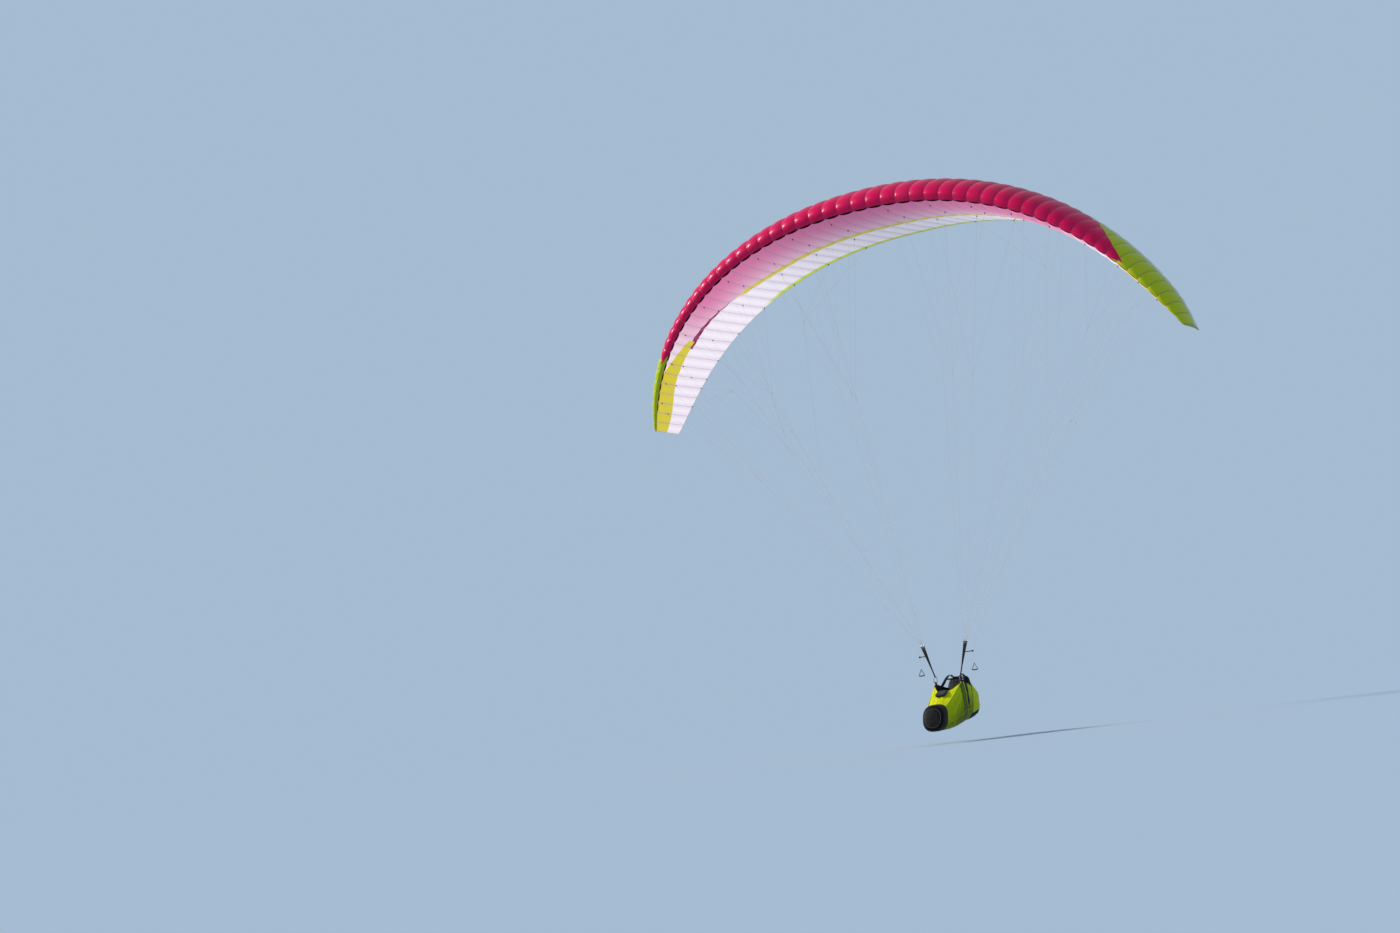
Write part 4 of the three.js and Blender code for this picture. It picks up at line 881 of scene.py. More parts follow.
HANDLE_TOP, HANDLE_TALL, HANDLE_HALF, GRIP_GIRTH = -7.4, 0.12, 0.05, 0.0098
HANDLE_LEG = ((0.0035, -0.014), (0.012, -0.032), (0.034, -0.072), (0.047, -0.094), (0.047, -0.108))
HANDLE_KNOT = ((0.001, 0.003), (0.004, 0.0055), (0.010, 0.0055), (0.0155, 0.003))
HANDLE_WIDTH, HANDLE_THICK = 0.019, 0.0028
CORD_STEPS, CORD_SPLICE, CORD_GIRTH, GRIP_STEPS, GRIP_TAPER = 25, 4, 0.0011, 15, 0.55
pulley_up = PULLEY_Z - HIP[2] - UPPER_BAR
strap_out = HIP_Y + pulley_up * RISER_LEAN
climb = (pulley_up - RISER_JOINED) / (RISER_TALL - RISER_JOINED)
BRAKE_X = HIP[0] - STRAP_THICK - climb * (RISER_SPREAD["A"] - STRAP_THICK)
plastic = Finish("pulley_plastic", Roughness=0.42)
plastic.two_tone(plastic.noise(300.0), (0.012, 0.012, 0.013, 1), (0.03, 0.03, 0.032, 1), 1.0, 0.0002)
grip_cover = Finish("grip_cover", Roughness=0.78)
knit = grip_cover.texture("Voronoi", 420.0, {})
grip_cover.two_tone(knit, (0.016, 0.016, 0.018, 1), (0.05, 0.05, 0.055, 1), 1.0, 0.0006)
for side_name, side in SIDES:
    node = f"brake_pulley_{side_name}"
    out = np.linspace(strap_out + TAB_START, BRAKE_Y - TAB_END, 12)
    tab = [([(BRAKE_X, side * y, PULLEY_Z) for y in out], (0, 0, 1), TAB_HEIGHT)]
    settle(webbing(f"pulley_tab_{side_name}", tab, black_webbing), "pulley_plastic", "wing", node)
    axle = np.array([BRAKE_X, side * BRAKE_Y, PULLEY_Z])
    parts = [turned(axle, (1, 0, 0), table) for table in PULLEY_PARTS]
    parts.append(turned(axle - [0, side * BECKET_INSET, 0], (0, 0, 1), BECKET))
    settle(cords(f"pulley_{side_name}", *zip(*parts), 24, plastic), "pulley_plastic", "wing", node)
    middle = np.array([BRAKE_X, side * BRAKE_Y, HANDLE_TOP])
    low, high = middle - [0, 0, 0.004], axle - [0, 0, 0.016]
    pull = low + (high - low) * np.linspace(0, 1, CORD_STEPS)[:, None]
    girths = [CORD_GIRTH * 2] * CORD_SPLICE + [CORD_GIRTH] * (CORD_STEPS - CORD_SPLICE)
    cord_piece = cords(f"brake_cord_{side_name}", [pull], [girths], 8, sheath)
    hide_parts(f"brake_line_low_{side_name}")
    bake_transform(cord_piece)
    grip_middle = middle - [0, 0, HANDLE_TALL - GRIP_GIRTH]
    shares = np.linspace(-1, 1, GRIP_STEPS)
    grip = [(t * HANDLE_HALF * 0.92, GRIP_GIRTH * (1 - GRIP_TAPER * abs(t) ** 6)) for t in shares]
    parts = [turned(grip_middle, (0, 1, 0), grip), turned(middle, (0, 0, -1), HANDLE_KNOT)]
    grip_piece = cords(f"brake_grip_{side_name}", *zip(*parts), 16, grip_cover)
    legs = []
    for way in (-1, 1):
        leg = smoothed([middle + [0, way * y, z] for y, z in HANDLE_LEG], 16)
        legs.append((leg, (1, 0, 0), HANDLE_WIDTH))
    loop = webbing(f"brake_loop_{side_name}", legs, black_webbing, HANDLE_THICK)
    for piece in (grip_piece, loop):
        settle(piece, "handle_webbing", f"brake_{side_name}", f"brake_handle_{side_name}")

# Pod hull: the outer cloth of the harness, sewn from long panels and lined in black. Its sides hang from
# the carabiners, so folds run from there to the foot end and under the seat.
# Each row of POD: place along the pod, half width, bottom, open edge's height, open edge's half width.
POD = (
    (-0.330, 0.226, -0.690, -0.150, 0.202), (-0.240, 0.248, -0.700, -0.115, 0.226),
    (-0.110, 0.262, -0.728, -0.088, 0.234), (0.010, 0.264, -0.748, -0.075, 0.229),
    (0.120, 0.260, -0.768, -0.130, 0.220), (0.330, 0.240, -0.792, -0.262, 0.196),
    (0.500, 0.215, -0.800, -0.362, 0.172), (0.650, 0.190, -0.796, -0.440, 0.150),
)
POD_BELLY, POD_SHOULDER, POD_ROUND = 0.48, 0.008, 0.8
FOOT_TILT, FOOT_MIDDLE, TILT_FROM, POD_FRONT = 0.25, -0.612, 0.25, 0.65
BACK_X, BACK_Z, BACK_LEAN = -0.290, -0.640, 0.235
POD_ROWS, POD_COLUMNS, POD_CLOTH, POD_CUT = 141, 145, 0.0045, (1.69, 1.14)
POD_WRINKLE, POD_CRUMPLE = 0.0060, 6.0
pod_table = np.array(POD)


def pod_at(x):
    """Half width, bottom, open edge's height and half width of the pod at a place along it."""
    return [np.interp(x, pod_table[:, 0], pod_table[:, k]) for k in (1, 2, 3, 4)]


def back_front(z):
    """Where the leaning front of the back shell stands at a height."""
    return BACK_X - BACK_LEAN * (z - BACK_Z)


def leaned(points):
    """Leans the pod's front back, the more the nearer to the foot end."""
    points = np.array(points, float)
    share = np.clip((points[..., 0] - TILT_FROM) / (POD_FRONT - TILT_FROM), 0, 1)
    points[..., 0] -= share * FOOT_TILT * (points[..., 2] - FOOT_MIDDLE)
    return points


def belly_curve(half, low, belly, angles):
    """The round underside of a section, from its side at angle 0 to its middle at a right angle."""
    across, down = np.abs(np.cos(angles)) ** POD_ROUND, np.sin(angles) ** POD_ROUND
    return list(zip(half * across, belly - (belly - low) * down))


def pod_section(row):
    """From the left open edge down and up again to the right one."""
    x, half, low, rim, rim_half = row
    belly = low + (rim - low) * POD_BELLY
    side_points = [(rim_half, rim), ((rim_half + half) / 2 + POD_SHOULDER, (rim + belly) / 2)]
    side_points += belly_curve(half, low, belly, np.linspace(0, math.pi / 2, 9))
    section = side_points + [(-y, z) for y, z in side_points[-2::-1]]
    return [(back_front(z) if x == POD[0][0] else x, y, z) for y, z in section]


FOLD_REACH = 3


def grid_normals(grid):
    return unit(np.cross(np.gradient(grid, axis=0), np.gradient(grid, axis=1)))


def folded(grid, folds, wrinkle, scale, hold, seed=0.0, face=(1, 1, 1)):
    """Pushes a cloth surface in and out: each fold is a crease (start, end, height, width) over the cloth,
    and crumples lie everywhere. hold is 0 where something holds the cloth, and face is small along the
    axis that the surface looks along, so that a straight crease follows the surface. Gives also how far
    each point lies above or below the cloth around it."""
    flat = grid.reshape(-1, 3)
    push = np.zeros(len(flat))
    for start, end, height, width in folds:
        start, end = np.array(start), np.array(end)
        t = np.clip((flat - start) @ (end - start) / ((end - start) @ (end - start)), 0, 1)
        away = np.linalg.norm((flat - start - t[:, None] * (end - start)) * face, axis=1)
        crisp = np.exp(-np.hypot(away / width, 0.25) + 0.25)
        push += height * crisp * np.sin(np.pi * np.clip(t, 0.02, 0.98)) ** 0.7
    crumples = np.array([noise.fractal(Vector(p * scale + seed), 1.0, 2.0, 4) for p in flat])
    push += wrinkle * (0.25 - np.abs(crumples)) * 2 + wrinkle * 0.5 * crumples
    push = push.reshape(grid.shape[:2]) * hold
    steps = range(-FOLD_REACH, FOLD_REACH + 1)
    around = sum(np.roll(push, (i, j), (0, 1)) for i in steps for j in steps) / len(steps) ** 2
    return grid + grid_normals(grid) * push[:, :, None], push - around


# Each fold: start, end, height and width of a crease on the left side.
POD_FOLDS = (
    ((0.00, 0.240, -0.12), (0.62, 0.200, -0.50), 0.020, 0.030),
    ((0.02, 0.250, -0.18), (0.52, 0.230, -0.62), 0.021, 0.032),
    ((0.01, 0.255, -0.16), (0.24, 0.240, -0.70), 0.018, 0.028),
    ((0.06, 0.250, -0.20), (0.36, 0.240, -0.46), -0.007, 0.022),
    ((-0.03, 0.250, -0.16), (-0.20, 0.210, -0.66), 0.018, 0.028),
    ((-0.05, 0.250, -0.14), (-0.30, 0.220, -0.40), 0.015, 0.026),
    ((0.30, 0.230, -0.35), (0.63, 0.170, -0.44), 0.012, 0.020),
    ((0.34, 0.220, -0.70), (0.64, 0.160, -0.66), 0.015, 0.024),
    ((0.46, 0.210, -0.42), (0.63, 0.195, -0.62), -0.007, 0.020),
    ((-0.30, 0.220, -0.25), (-0.10, 0.255, -0.33), 0.011, 0.020),
    ((-0.26, 0.230, -0.55), (0.10, 0.250, -0.60), 0.012, 0.022),
    ((0.12, 0.245, -0.64), (0.50, 0.200, -0.74), 0.013, 0.024),
    ((0.20, 0.250, -0.34), (0.30, 0.240, -0.60), 0.010, 0.018),
    ((0.40, 0.235, -0.46), (0.58, 0.205, -0.70), 0.012, 0.020),
)
# Narrow creases that fan out from the hang point to these places (x, z).
HANG_CREASES = (
    (0.58, -0.47), (0.54, -0.56), (0.47, -0.66), (0.33, -0.72), (0.17, -0.70),
    (0.05, -0.71), (-0.09, -0.69), (-0.17, -0.66), (-0.24, -0.56), (-0.28, -0.40),
)
CREASE_HEIGHT, CREASE_WIDTH = -0.0075, 0.011
for x, z in HANG_CREASES:
    crease_start = (0.005 + x * 0.12, 0.25, -0.12 + z * 0.1)
    POD_FOLDS += ((crease_start, (x, 0.23, z), CREASE_HEIGHT, CREASE_WIDTH),)


def on_both_sides(folds):
    """The folds, and the same on the right, a little shifted so that the two sides aren't twins."""
    right = []
    for (x0, y0, z0), (x1, y1, z1), height, width in folds:
        right.append(((x0 - 0.02, -y0, z0 - 0.015), (x1 + 0.02, -y1, z1 + 0.02), height * 0.9, width * 1.1))
    return [*folds, *right]


def pack_cloth(finish, colour, deep):
    """Coated pack cloth: a plain square weave, painted shade in the fold hollows and slow random changes of
    tone.
    """
    weave = finish.texture("Voronoi", 520.0, {"distance": "CHEBYCHEV"})
    slow = finish.noise(4.0, Detail=5.0)
    # Painted shade: darker where the cloth lies below the folds around it.
    painted_fold_shade = 1 - finish.attribute("fold").rise(-0.009, 0.003)
    shaded = finish.mix(painted_fold_shade * 0.5, colour, deep)
    finish.put("Base Color", finish.mix(slow.rise(0.35, 0.8) * 0.2 + weave * 0.15, shaded, deep))
    finish.put("Roughness", 0.42 + slow * 0.2)
    creases = finish.noise(14.0, Detail=5.0, Distortion=0.6)
    finish.bump(weave * 0.06 + creases, 0.006)


lining = Finish("black_lining", Roughness=0.7, Specular_IOR_Level=0.2)
lining.two_tone(lining.noise(30.0), (0.006, 0.006, 0.007, 1), (0.018, 0.018, 0.02, 1))
# The pod's cloth is lime, painted paler near the open edge and darker down the side, as light on the top and
# shade below, with a darker grey-green patch under the hang point, a black wedge behind it and painted shade
# under the seat. The numbers are places from the carabiners.
PATCH_X, PATCH_HALF, PATCH_SLANT, PATCH_LOW = 0.045, 0.066, -0.07, -0.66
WEDGE_BACK, WEDGE_SLANT, WEDGE_TALL, WEDGE_FLARE = 0.115, 0.10, 0.56, 0.14
BELLY_TOP, BELLY_FRONT, HIGH_MARK = -0.655, 0.20, 0.1
EDGE_BELOW, EDGE_FROM, EDGE_DROP = 0.115, -0.1, 0.32
pod_cloth = Finish("pod_cloth", Specular_IOR_Level=0.06)
x_there, z_there = pod_cloth.past("X", HIP[0]), pod_cloth.past("Z", HIP[2])
under_edge = z_there + EDGE_BELOW + x_there.rise(EDGE_FROM, POD_FRONT) * EDGE_DROP
from_high = z_there + HIGH_MARK
# A darker grey-green patch under the hang point, and a black wedge behind it.
grey_green_patch = (abs(x_there - PATCH_X) < PATCH_HALF + from_high * PATCH_SLANT) * (z_there > PATCH_LOW)
belly_shade = (z_there < BELLY_TOP) * (x_there < BELLY_FRONT)
black_wedge = abs(x_there + WEDGE_BACK + from_high * WEDGE_SLANT) < (z_there + WEDGE_TALL) * WEDGE_FLARE
# Painted light and shade: pale lime near the open edge, dark lime lower down the side.
colour = pod_cloth.mix(under_edge.rise(-0.42, -0.02), (0.17, 0.22, 0.001, 1), (0.44, 0.56, 0.001, 1))
colour = pod_cloth.mix(grey_green_patch, colour, (0.11, 0.16, 0.012, 1))
# Painted shade under the seat.
colour = pod_cloth.mix(belly_shade, colour, (0.11, 0.14, 0.03, 1))
colour = pod_cloth.mix(black_wedge, colour, (0.014, 0.015, 0.017, 1))
pack_cloth(pod_cloth, colour, pod_cloth.mix(0.55, colour, BLACK))
pod_grid = leaned(smoothed([smoothed(pod_section(row), POD_COLUMNS) for row in POD], POD_ROWS))
hold = np.sin(np.linspace(0, np.pi, POD_ROWS))[:, None] ** 0.4
pod_folds = on_both_sides(POD_FOLDS)
pod_grid, pod_push = folded(pod_grid, pod_folds, POD_WRINKLE, POD_CRUMPLE, hold, face=(1, 0.3, 1))


def cloth_piece(name, grid, push, thickness, finish, wrap=False, flip=False, ends=()):
    """A lined sheet of pack cloth from a grid of points in the harness's own place."""
    faces = [*grid_faces(*grid.shape[:2], wrap=wrap, flip=flip), *ends]
    piece = new_piece(name, (grid + HIP).reshape(-1, 3), faces, finish, lining)
    give(piece, "fold", push)
    if ends:
        solid(piece)
    thicken(piece, thickness, offset=-1, inner=1)
    return piece


pod = cloth_piece("pod_hull_cloth", pod_grid, pod_push, POD_CLOTH, pod_cloth, flip=True)
settle(pod, "pod_lime", "harness", "pod_hull")

# Pod seams: piping along the open edges in front, a black binding behind, felled seams between the
# panels and round the pod, and their stitches. The numbers count the grid's rows and columns.
PIPING_GIRTH, BINDING_GIRTH, FELLED_GIRTH = 0.0038, 0.0042, 0.0016
PANEL_COLUMNS, GIRDLE_ROWS, FRONT_ROW = (24, 48, 60, 84, 96, 120), (18, 52, 112), 61
POD_STITCH, POD_THREAD = 0.006, 0.0012
lime_piping = Finish("lime_piping", Roughness=0.4)
lime_piping.two_tone(lime_piping.noise(50.0), (0.72, 0.76, 0.02, 1), (0.46, 0.56, 0.01, 1), 0.4)
black_binding = Finish("black_binding", Roughness=0.6)
black_binding.two_tone(black_binding.noise(120.0), (0.012, 0.012, 0.013, 1), (0.04, 0.04, 0.045, 1))
outer = pod_grid + grid_normals(pod_grid) * 0.0008 + HIP
edges_front = [outer[FRONT_ROW:, 0], outer[FRONT_ROW:, -1]]
edges_back = [outer[: FRONT_ROW + 1, 0], outer[: FRONT_ROW + 1, -1]]
panels = [outer[:, k] for k in PANEL_COLUMNS]
girdles = [outer[r] for r in GIRDLE_ROWS]
beside = [r + [0, 0, 0.004] for r in girdles] + [r + [0.005, 0, 0] for r in panels]
piping = cords("pod_piping", edges_front, PIPING_GIRTH, 8, lime_piping)
binding = cords("pod_binding", edges_back, BINDING_GIRTH, 8, black_binding)
felled = cords("pod_seams", panels + girdles, FELLED_GIRTH, 6, lime_piping)
sewn = stitched("pod_stitches", beside, black_binding, POD_STITCH, POD_THREAD)
sewn_on = [piping, binding, felled, sewn]
for piece in sewn_on:
    settle(piece, "pod_lime" if piece in (piping, felled) else "pod_black", "harness")
grid_area(pod_grid)

# Leg cover: one arched piece of cloth over the legs, open in a V towards the pilot, with a bound edge.
# It is sewn to the pod's open edges, pulled up at the hang points, and sags a little between its folds.
# Each row of COVER: place of its edges, rise of its middle, how far its middle is cut back.
COVER = (
    (0.060, 0.026, 0.250), (0.120, 0.030, 0.220), (0.330, 0.036, 0.110),
    (0.500, 0.040, 0.040), (0.650, 0.042, 0.0),
)
COVER_STEPS, COVER_GAP, COVER_CLOTH, COVER_CUT = 71, 0.0012, 0.0035, (0.73, 0.65)
COVER_FOLDS = (
    ((0.10, 0.190, -0.11), (0.60, 0.050, -0.38), 0.013, 0.020),
    ((0.14, 0.200, -0.14), (0.62, 0.130, -0.40), 0.011, 0.018),
    ((0.20, 0.150, -0.17), (0.40, 0.180, -0.30), -0.006, 0.016),
    ((0.33, 0.030, -0.22), (0.61, 0.100, -0.39), -0.006, 0.018),
    ((0.30, 0.090, -0.20), (0.34, 0.180, -0.26), 0.009, 0.014),
    ((0.46, 0.020, -0.29), (0.52, 0.150, -0.36), 0.009, 0.016),
    ((0.18, 0.170, -0.13), (0.26, 0.110, -0.17), 0.009, 0.014),
    ((0.12, 0.205, -0.12), (0.58, 0.090, -0.37), -0.006, 0.010),
    ((0.16, 0.195, -0.14), (0.60, 0.150, -0.40), -0.006, 0.010),
    ((0.30, 0.060, -0.20), (0.60, 0.020, -0.38), -0.005, 0.010),
)
COVER_WRINKLE, COVER_CRUMPLE = 0.0045, 8.0
MOUTH_GIRTH, COVER_SEAM_GIRTH = 0.0045, 0.0014
u = np.linspace(1, -1, COVER_STEPS)
swell = 1 - u * u
cover_rows = []
for edge, rise, cut in COVER:
    x = np.minimum(edge + cut * swell, POD_FRONT)
    rim, rim_half = pod_at(x)[2:]
    cover_rows.append(np.stack([x, u * rim_half, rim + COVER_GAP + rise * swell], 1))
cover_grid = leaned(smoothed(cover_rows, COVER_STEPS))
hold = np.outer(*(np.sin(np.linspace(end, np.pi - end, COVER_STEPS)) ** 0.5 for end in (0.12, 0.05)))
cover_folds = on_both_sides(COVER_FOLDS)
cover_grid, cover_push = folded(
    cover_grid, cover_folds, COVER_WRINKLE, COVER_CRUMPLE, hold, seed=4.0, face=(1, 1, 0.3)
)
cover_cloth = Finish("cover_cloth", Specular_IOR_Level=0.08)
pack_cloth(cover_cloth, (0.60, 0.59, 0.003, 1), (0.34, 0.42, 0.002, 1))
cover = cloth_piece("leg_cover_cloth", cover_grid, cover_push, COVER_CLOTH, cover_cloth)
mouth = cover_grid[0] + HIP + [-0.001, 0, 0]
seam_starts = ((4, COVER_STEPS // 2), (2, 17), (2, -18))
seam_routes = [cover_grid[first:, column] + HIP + [0, 0, 0.001] for first, column in seam_starts]
beside = [r + [0, 0.004, 0] for r in seam_routes]
mouth_binding = cords("leg_cover_binding", [mouth], MOUTH_GIRTH, 8, black_binding)
cover_seams = cords("leg_cover_seams", seam_routes, COVER_SEAM_GIRTH, 6, lime_piping)
cover_thread = stitched("leg_cover_stitches", beside, black_binding, POD_STITCH, POD_THREAD)
sewn_on = [mouth_binding, cover_seams, cover_thread]
area = grid_area(cover_grid)
for piece in (cover, *sewn_on):
    settle(piece, "pod_lime" if piece in (cover, cover_seams) else "pod_black", "harness", "leg_cover")

# Foot cap: a deep black cup of stiffened, padded cloth drawn over the foot end, with piping round its
# nose and its edges.
CAP_DEPTH, CAP_HALF, CAP_LOW, CAP_HIGH, CAP_WALL = 0.150, 0.196, -0.806, -0.392, 0.008
CAP_ROUND_BACK, CAP_ROUND_NOSE, CAP_SIDES = 0.70, 0.88, 72
CAP_MIDDLE, CAP_TALL = (CAP_LOW + CAP_HIGH) / 2, (CAP_HIGH - CAP_LOW) / 2
CAP_FRONT, CAP_BACK = POD_FRONT + CAP_DEPTH, POD_FRONT + 0.0012
CAP_INSIDE = 1 - CAP_WALL / CAP_HALF
CAP_FACE_ROWS, CAP_OUTSIDE_ROWS, CAP_DENT = 7, 14, 0.004
CAP_PIPING = ((5, 0.0034), (10, 0.0022), (13, 0.0040))
# Each ring of the cap, over its outside and back through its inside: place ahead of CAP_FRONT, share of
# its outline. The four rings between stand at its open edge.
CAP_OUTSIDE = (
    (0.005, 0.02), (0.005, 0.15), (0.004, 0.30), (0.002, 0.44), (-0.001, 0.57), (-0.005, 0.69),
    (-0.012, 0.80), (-0.022, 0.885), (-0.034, 0.945), (-0.050, 0.985), (-0.070, 1.0), (-0.105, 1.005),
)
CAP_EDGE = ((0.012, 1.0), (0.0, 0.995), (0.0, CAP_INSIDE), (0.02, CAP_INSIDE))
CAP_LINED = ((-0.070, CAP_INSIDE), (-0.034, 0.895), (-0.016, 0.80), (-0.012, 0.4), (-0.012, 0.02))
cap_profile = [(CAP_FRONT + x, share) for x, share in CAP_OUTSIDE]
cap_profile += [(CAP_BACK + x, share) for x, share in CAP_EDGE]
cap_profile += [(CAP_FRONT + x, share) for x, share in CAP_LINED]


def rounded(half, low, high, sides, power):
    """Across and up of a ring between a circle (power 1) and a rectangle (power 0)."""
    turns = np.linspace(0, 2 * math.pi, sides, endpoint=False)
    c, s = np.cos(turns), np.sin(turns)
    y = half * np.sign(c) * np.abs(c) ** power
    z = (low + high) / 2 + (high - low) / 2 * np.sign(s) * np.abs(s) ** power
    return y, z


def closed(route):
    """A run of points that ends where it starts."""
    return np.concatenate([route, route[:1]])


cap_rows = []
for x, share in cap_profile:
    power = CAP_ROUND_BACK + (CAP_ROUND_NOSE - CAP_ROUND_BACK) * (x - CAP_BACK) / (CAP_FRONT - CAP_BACK)
    half, tall = CAP_HALF * share, CAP_TALL * share
    y, z = rounded(half, CAP_MIDDLE - tall, CAP_MIDDLE + tall, CAP_SIDES, power)
    cap_rows.append(np.stack([np.full_like(y, x), y, z], 1))
cap_grid = leaned(cap_rows)
for r, row in enumerate(cap_grid[:CAP_OUTSIDE_ROWS]):
    deep = CAP_DENT if r < CAP_OUTSIDE_ROWS - 2 else CAP_DENT * 0.3
    for p in row:
        dent = deep * noise.fractal(Vector(p * 8 + 2), 1.0, 2.0, 3)
        p += (dent, 0, 0) if r < CAP_FACE_ROWS else (0, dent * np.sign(p[1]), 0)
cap_cloth = Finish("cap_cloth", Specular_IOR_Level=0.08)
slow = cap_cloth.noise(5.0, Detail=4.0)
from_face = cap_cloth.past("X", HIP[0]) + (cap_cloth.past("Z", HIP[2]) - FOOT_MIDDLE) * FOOT_TILT
# The sides are painted a lighter charcoal than the near-black face, in part a painted sheen of the lit
# sides.
colour = cap_cloth.mix(from_face < CAP_FRONT - 0.026, (0.0015, 0.0012, 0.0025, 1), (0.022, 0.021, 0.020, 1))
cap_cloth.put("Base Color", cap_cloth.mix(slow * 0.3, colour, (0.010, 0.009, 0.012, 1)))
cap_cloth.put("Roughness", 0.38 + slow * 0.25)
weave = cap_cloth.texture("Voronoi", 380.0, {})
cap_cloth.bump(weave * 0.2 + cap_cloth.noise(22.0, Detail=4.0), 0.003)
cap = shell_piece("foot_cap_cloth", cap_grid + HIP, cap_cloth)
rings = [closed(cap_grid[r]) + HIP for r, _ in CAP_PIPING]
girths = [[girth] * (CAP_SIDES + 1) for _, girth in CAP_PIPING]
cap_piping = cords("foot_cap_piping", rings, girths, 8, black_binding)
for piece in (cap, cap_piping):
    settle(piece, "pod_black", "harness", "foot_cap")

# Boards: the foot plate of black plastic inside the cap's nose and the seat board of wood, both with
# rounded corners and edges. Each level of an edge: share of the thickness, share of the outline.
BOARD_EDGE = ((-0.5, 0.94), (-0.5, 0.985), (-0.3, 1.0), (0.3, 1.0), (0.5, 0.985), (0.5, 0.94))
PLATE_SIZE, PLATE_CORNER, PLATE_BACK = (0.210, 0.224, 0.006), 0.03, 0.0042
SEAT_FRONT, SEAT_BACK, SEAT_HALF, SEAT_TOP, SEAT_THICK = 0.125, -0.250, 0.145, -0.628, 0.012


def board(name, centre, size, corner, normal, up, finish):
    """A flat board; size is (width, height, thickness), and normal is the way its face looks."""
    normal, up = unit(np.array(normal, float)), unit(np.array(up, float))
    side = np.cross(up, normal)
    width, height, thick = size
    outline = []
    for quarter, (sy, sz) in enumerate(((1, 1), (-1, 1), (-1, -1), (1, -1))):
        for t in np.linspace(0, math.pi / 2, 8):
            angle = quarter * math.pi / 2 + t
            y = sy * (width / 2 - corner) + corner * math.cos(angle)
            outline.append((y, sz * (height / 2 - corner) + corner * math.sin(angle)))
    rings = []
    for depth, inset in BOARD_EDGE:
        level = centre + normal * depth * thick
        rings.append([level + side * y * inset + up * z * inset for y, z in outline])
    return shell_piece(name, rings, finish)


plate_finish = Finish("plate_plastic", Roughness=0.5)
grain = plate_finish.noise(200.0, Detail=3.0)
plate_finish.two_tone(grain, (0.02, 0.02, 0.022, 1), (0.05, 0.05, 0.052, 1), 1.0, 0.0005)
wood = Finish("seat_wood", Roughness=0.5)
grain = wood.texture("Wave", 28.0, {"bands_direction": "Y"}, Distortion=6.0, Detail=3.0)
wood.two_tone(grain, (0.42, 0.26, 0.13, 1), (0.30, 0.17, 0.08, 1), 1.0, 0.0003)
plate_x = CAP_FRONT - 0.012 - PLATE_BACK * math.hypot(1, FOOT_TILT) - FOOT_TILT * (CAP_MIDDLE - FOOT_MIDDLE)
plate_way = (1, 0, FOOT_TILT), (-FOOT_TILT, 0, 1)
plate_middle = HIP + [plate_x, 0, CAP_MIDDLE]
plate = board("foot_plate_board", plate_middle, PLATE_SIZE, PLATE_CORNER, *plate_way, plate_finish)
settle(plate, "plate_plastic", "harness", "foot_plate")
seat_middle = HIP + [(SEAT_FRONT + SEAT_BACK) / 2, 0, SEAT_TOP - SEAT_THICK / 2]
seat_size = (2 * SEAT_HALF, SEAT_FRONT - SEAT_BACK, SEAT_THICK)
seat = board("seat_board_wood", seat_middle, seat_size, PLATE_CORNER, (0, 0, 1), (1, 0, 0), wood)
settle(seat, "seat_wood", "harness", "seat_board")

# Seat protector: a block of foam under the seat board, in a black cover, shaped to the pod's bottom.
PROTECTOR, PROTECTOR_RINGS, PROTECTOR_IN = (-0.240, -0.110, 0.010, 0.120), 20, 0.0132
PROTECTOR_TOP, UNDER_FROM = SEAT_TOP - SEAT_THICK - 0.0012, 1.18
protector_rows = []
for x in PROTECTOR:
    half, low, rim, rim_half = pod_at(x)
    belly = low + (rim - low) * POD_BELLY
    inner = half - PROTECTOR_IN, low + PROTECTOR_IN
    under = belly_curve(*inner, belly, np.linspace(UNDER_FROM, math.pi / 2, 7))
    loop = [(y, PROTECTOR_TOP) for y in (0.13, 0.07, 0, -0.07, -0.13)] + [(-0.14, PROTECTOR_TOP - 0.004)]
    loop += [(-y, z) for y, z in under] + under[-2::-1] + [(0.14, PROTECTOR_TOP - 0.004)]
    protector_rows.append([(x, y, z) for y, z in loop])
foam = Finish("foam_cover", Roughness=0.8)
bubbles = foam.texture("Voronoi", 300.0, {})
foam.two_tone(bubbles, (0.010, 0.010, 0.011, 1), (0.035, 0.035, 0.04, 1), 1.0, 0.0006)
protector = shell_piece("protector_foam", smoothed(protector_rows, PROTECTOR_RINGS) + HIP, foam)
settle(protector, "foam_black", "harness", "seat_protector")

# The back shell: a stiff sheet in black cloth behind the pilot, leaning back, with bound edges.
# Each row of BACK: height, half width of the pad, half width of the shell.
BACK = (
    (-0.696, 0.0, 0.070), (-0.640, 0.108, 0.176), (-0.540, 0.150, 0.218), (-0.390, 0.162, 0.228),
    (-0.150, 0.156, 0.204), (0.020, 0.128, 0.150),
)
BACK_SHELL, SHELL_STEPS, SHELL_ACROSS, TOP_CORNER = 0.008, 40, 17, 0.055
back_table = np.array(BACK)
heights, halves = smoothed(back_table[:, ::2], SHELL_STEPS).T
past_corner = np.clip(heights - (heights[-1] - TOP_CORNER), 0, TOP_CORNER)
halves = halves - TOP_CORNER + np.sqrt(TOP_CORNER**2 - past_corner**2)
u = np.linspace(-1, 1, SHELL_ACROSS)
shell_rows = [[(back_front(z) - BACK_SHELL / 2, y, z) for y in u * half] for z, half in zip(heights, halves)]
shell_grid = np.array(shell_rows) + HIP
shell_cloth = Finish("shell_cloth", Specular_IOR_Level=0.2)
pack_cloth(shell_cloth, (0.007, 0.007, 0.008, 1), (0.018, 0.018, 0.020, 1))
shell_faces = grid_faces(SHELL_STEPS, SHELL_ACROSS)
shell = new_piece("back_shell_cloth", shell_grid.reshape(-1, 3), shell_faces, shell_cloth)
thicken(shell, BACK_SHELL * 0.8)
around = np.concatenate([shell_grid[:, 0], shell_grid[-1, 1:], shell_grid[::-1, -1][1:]])
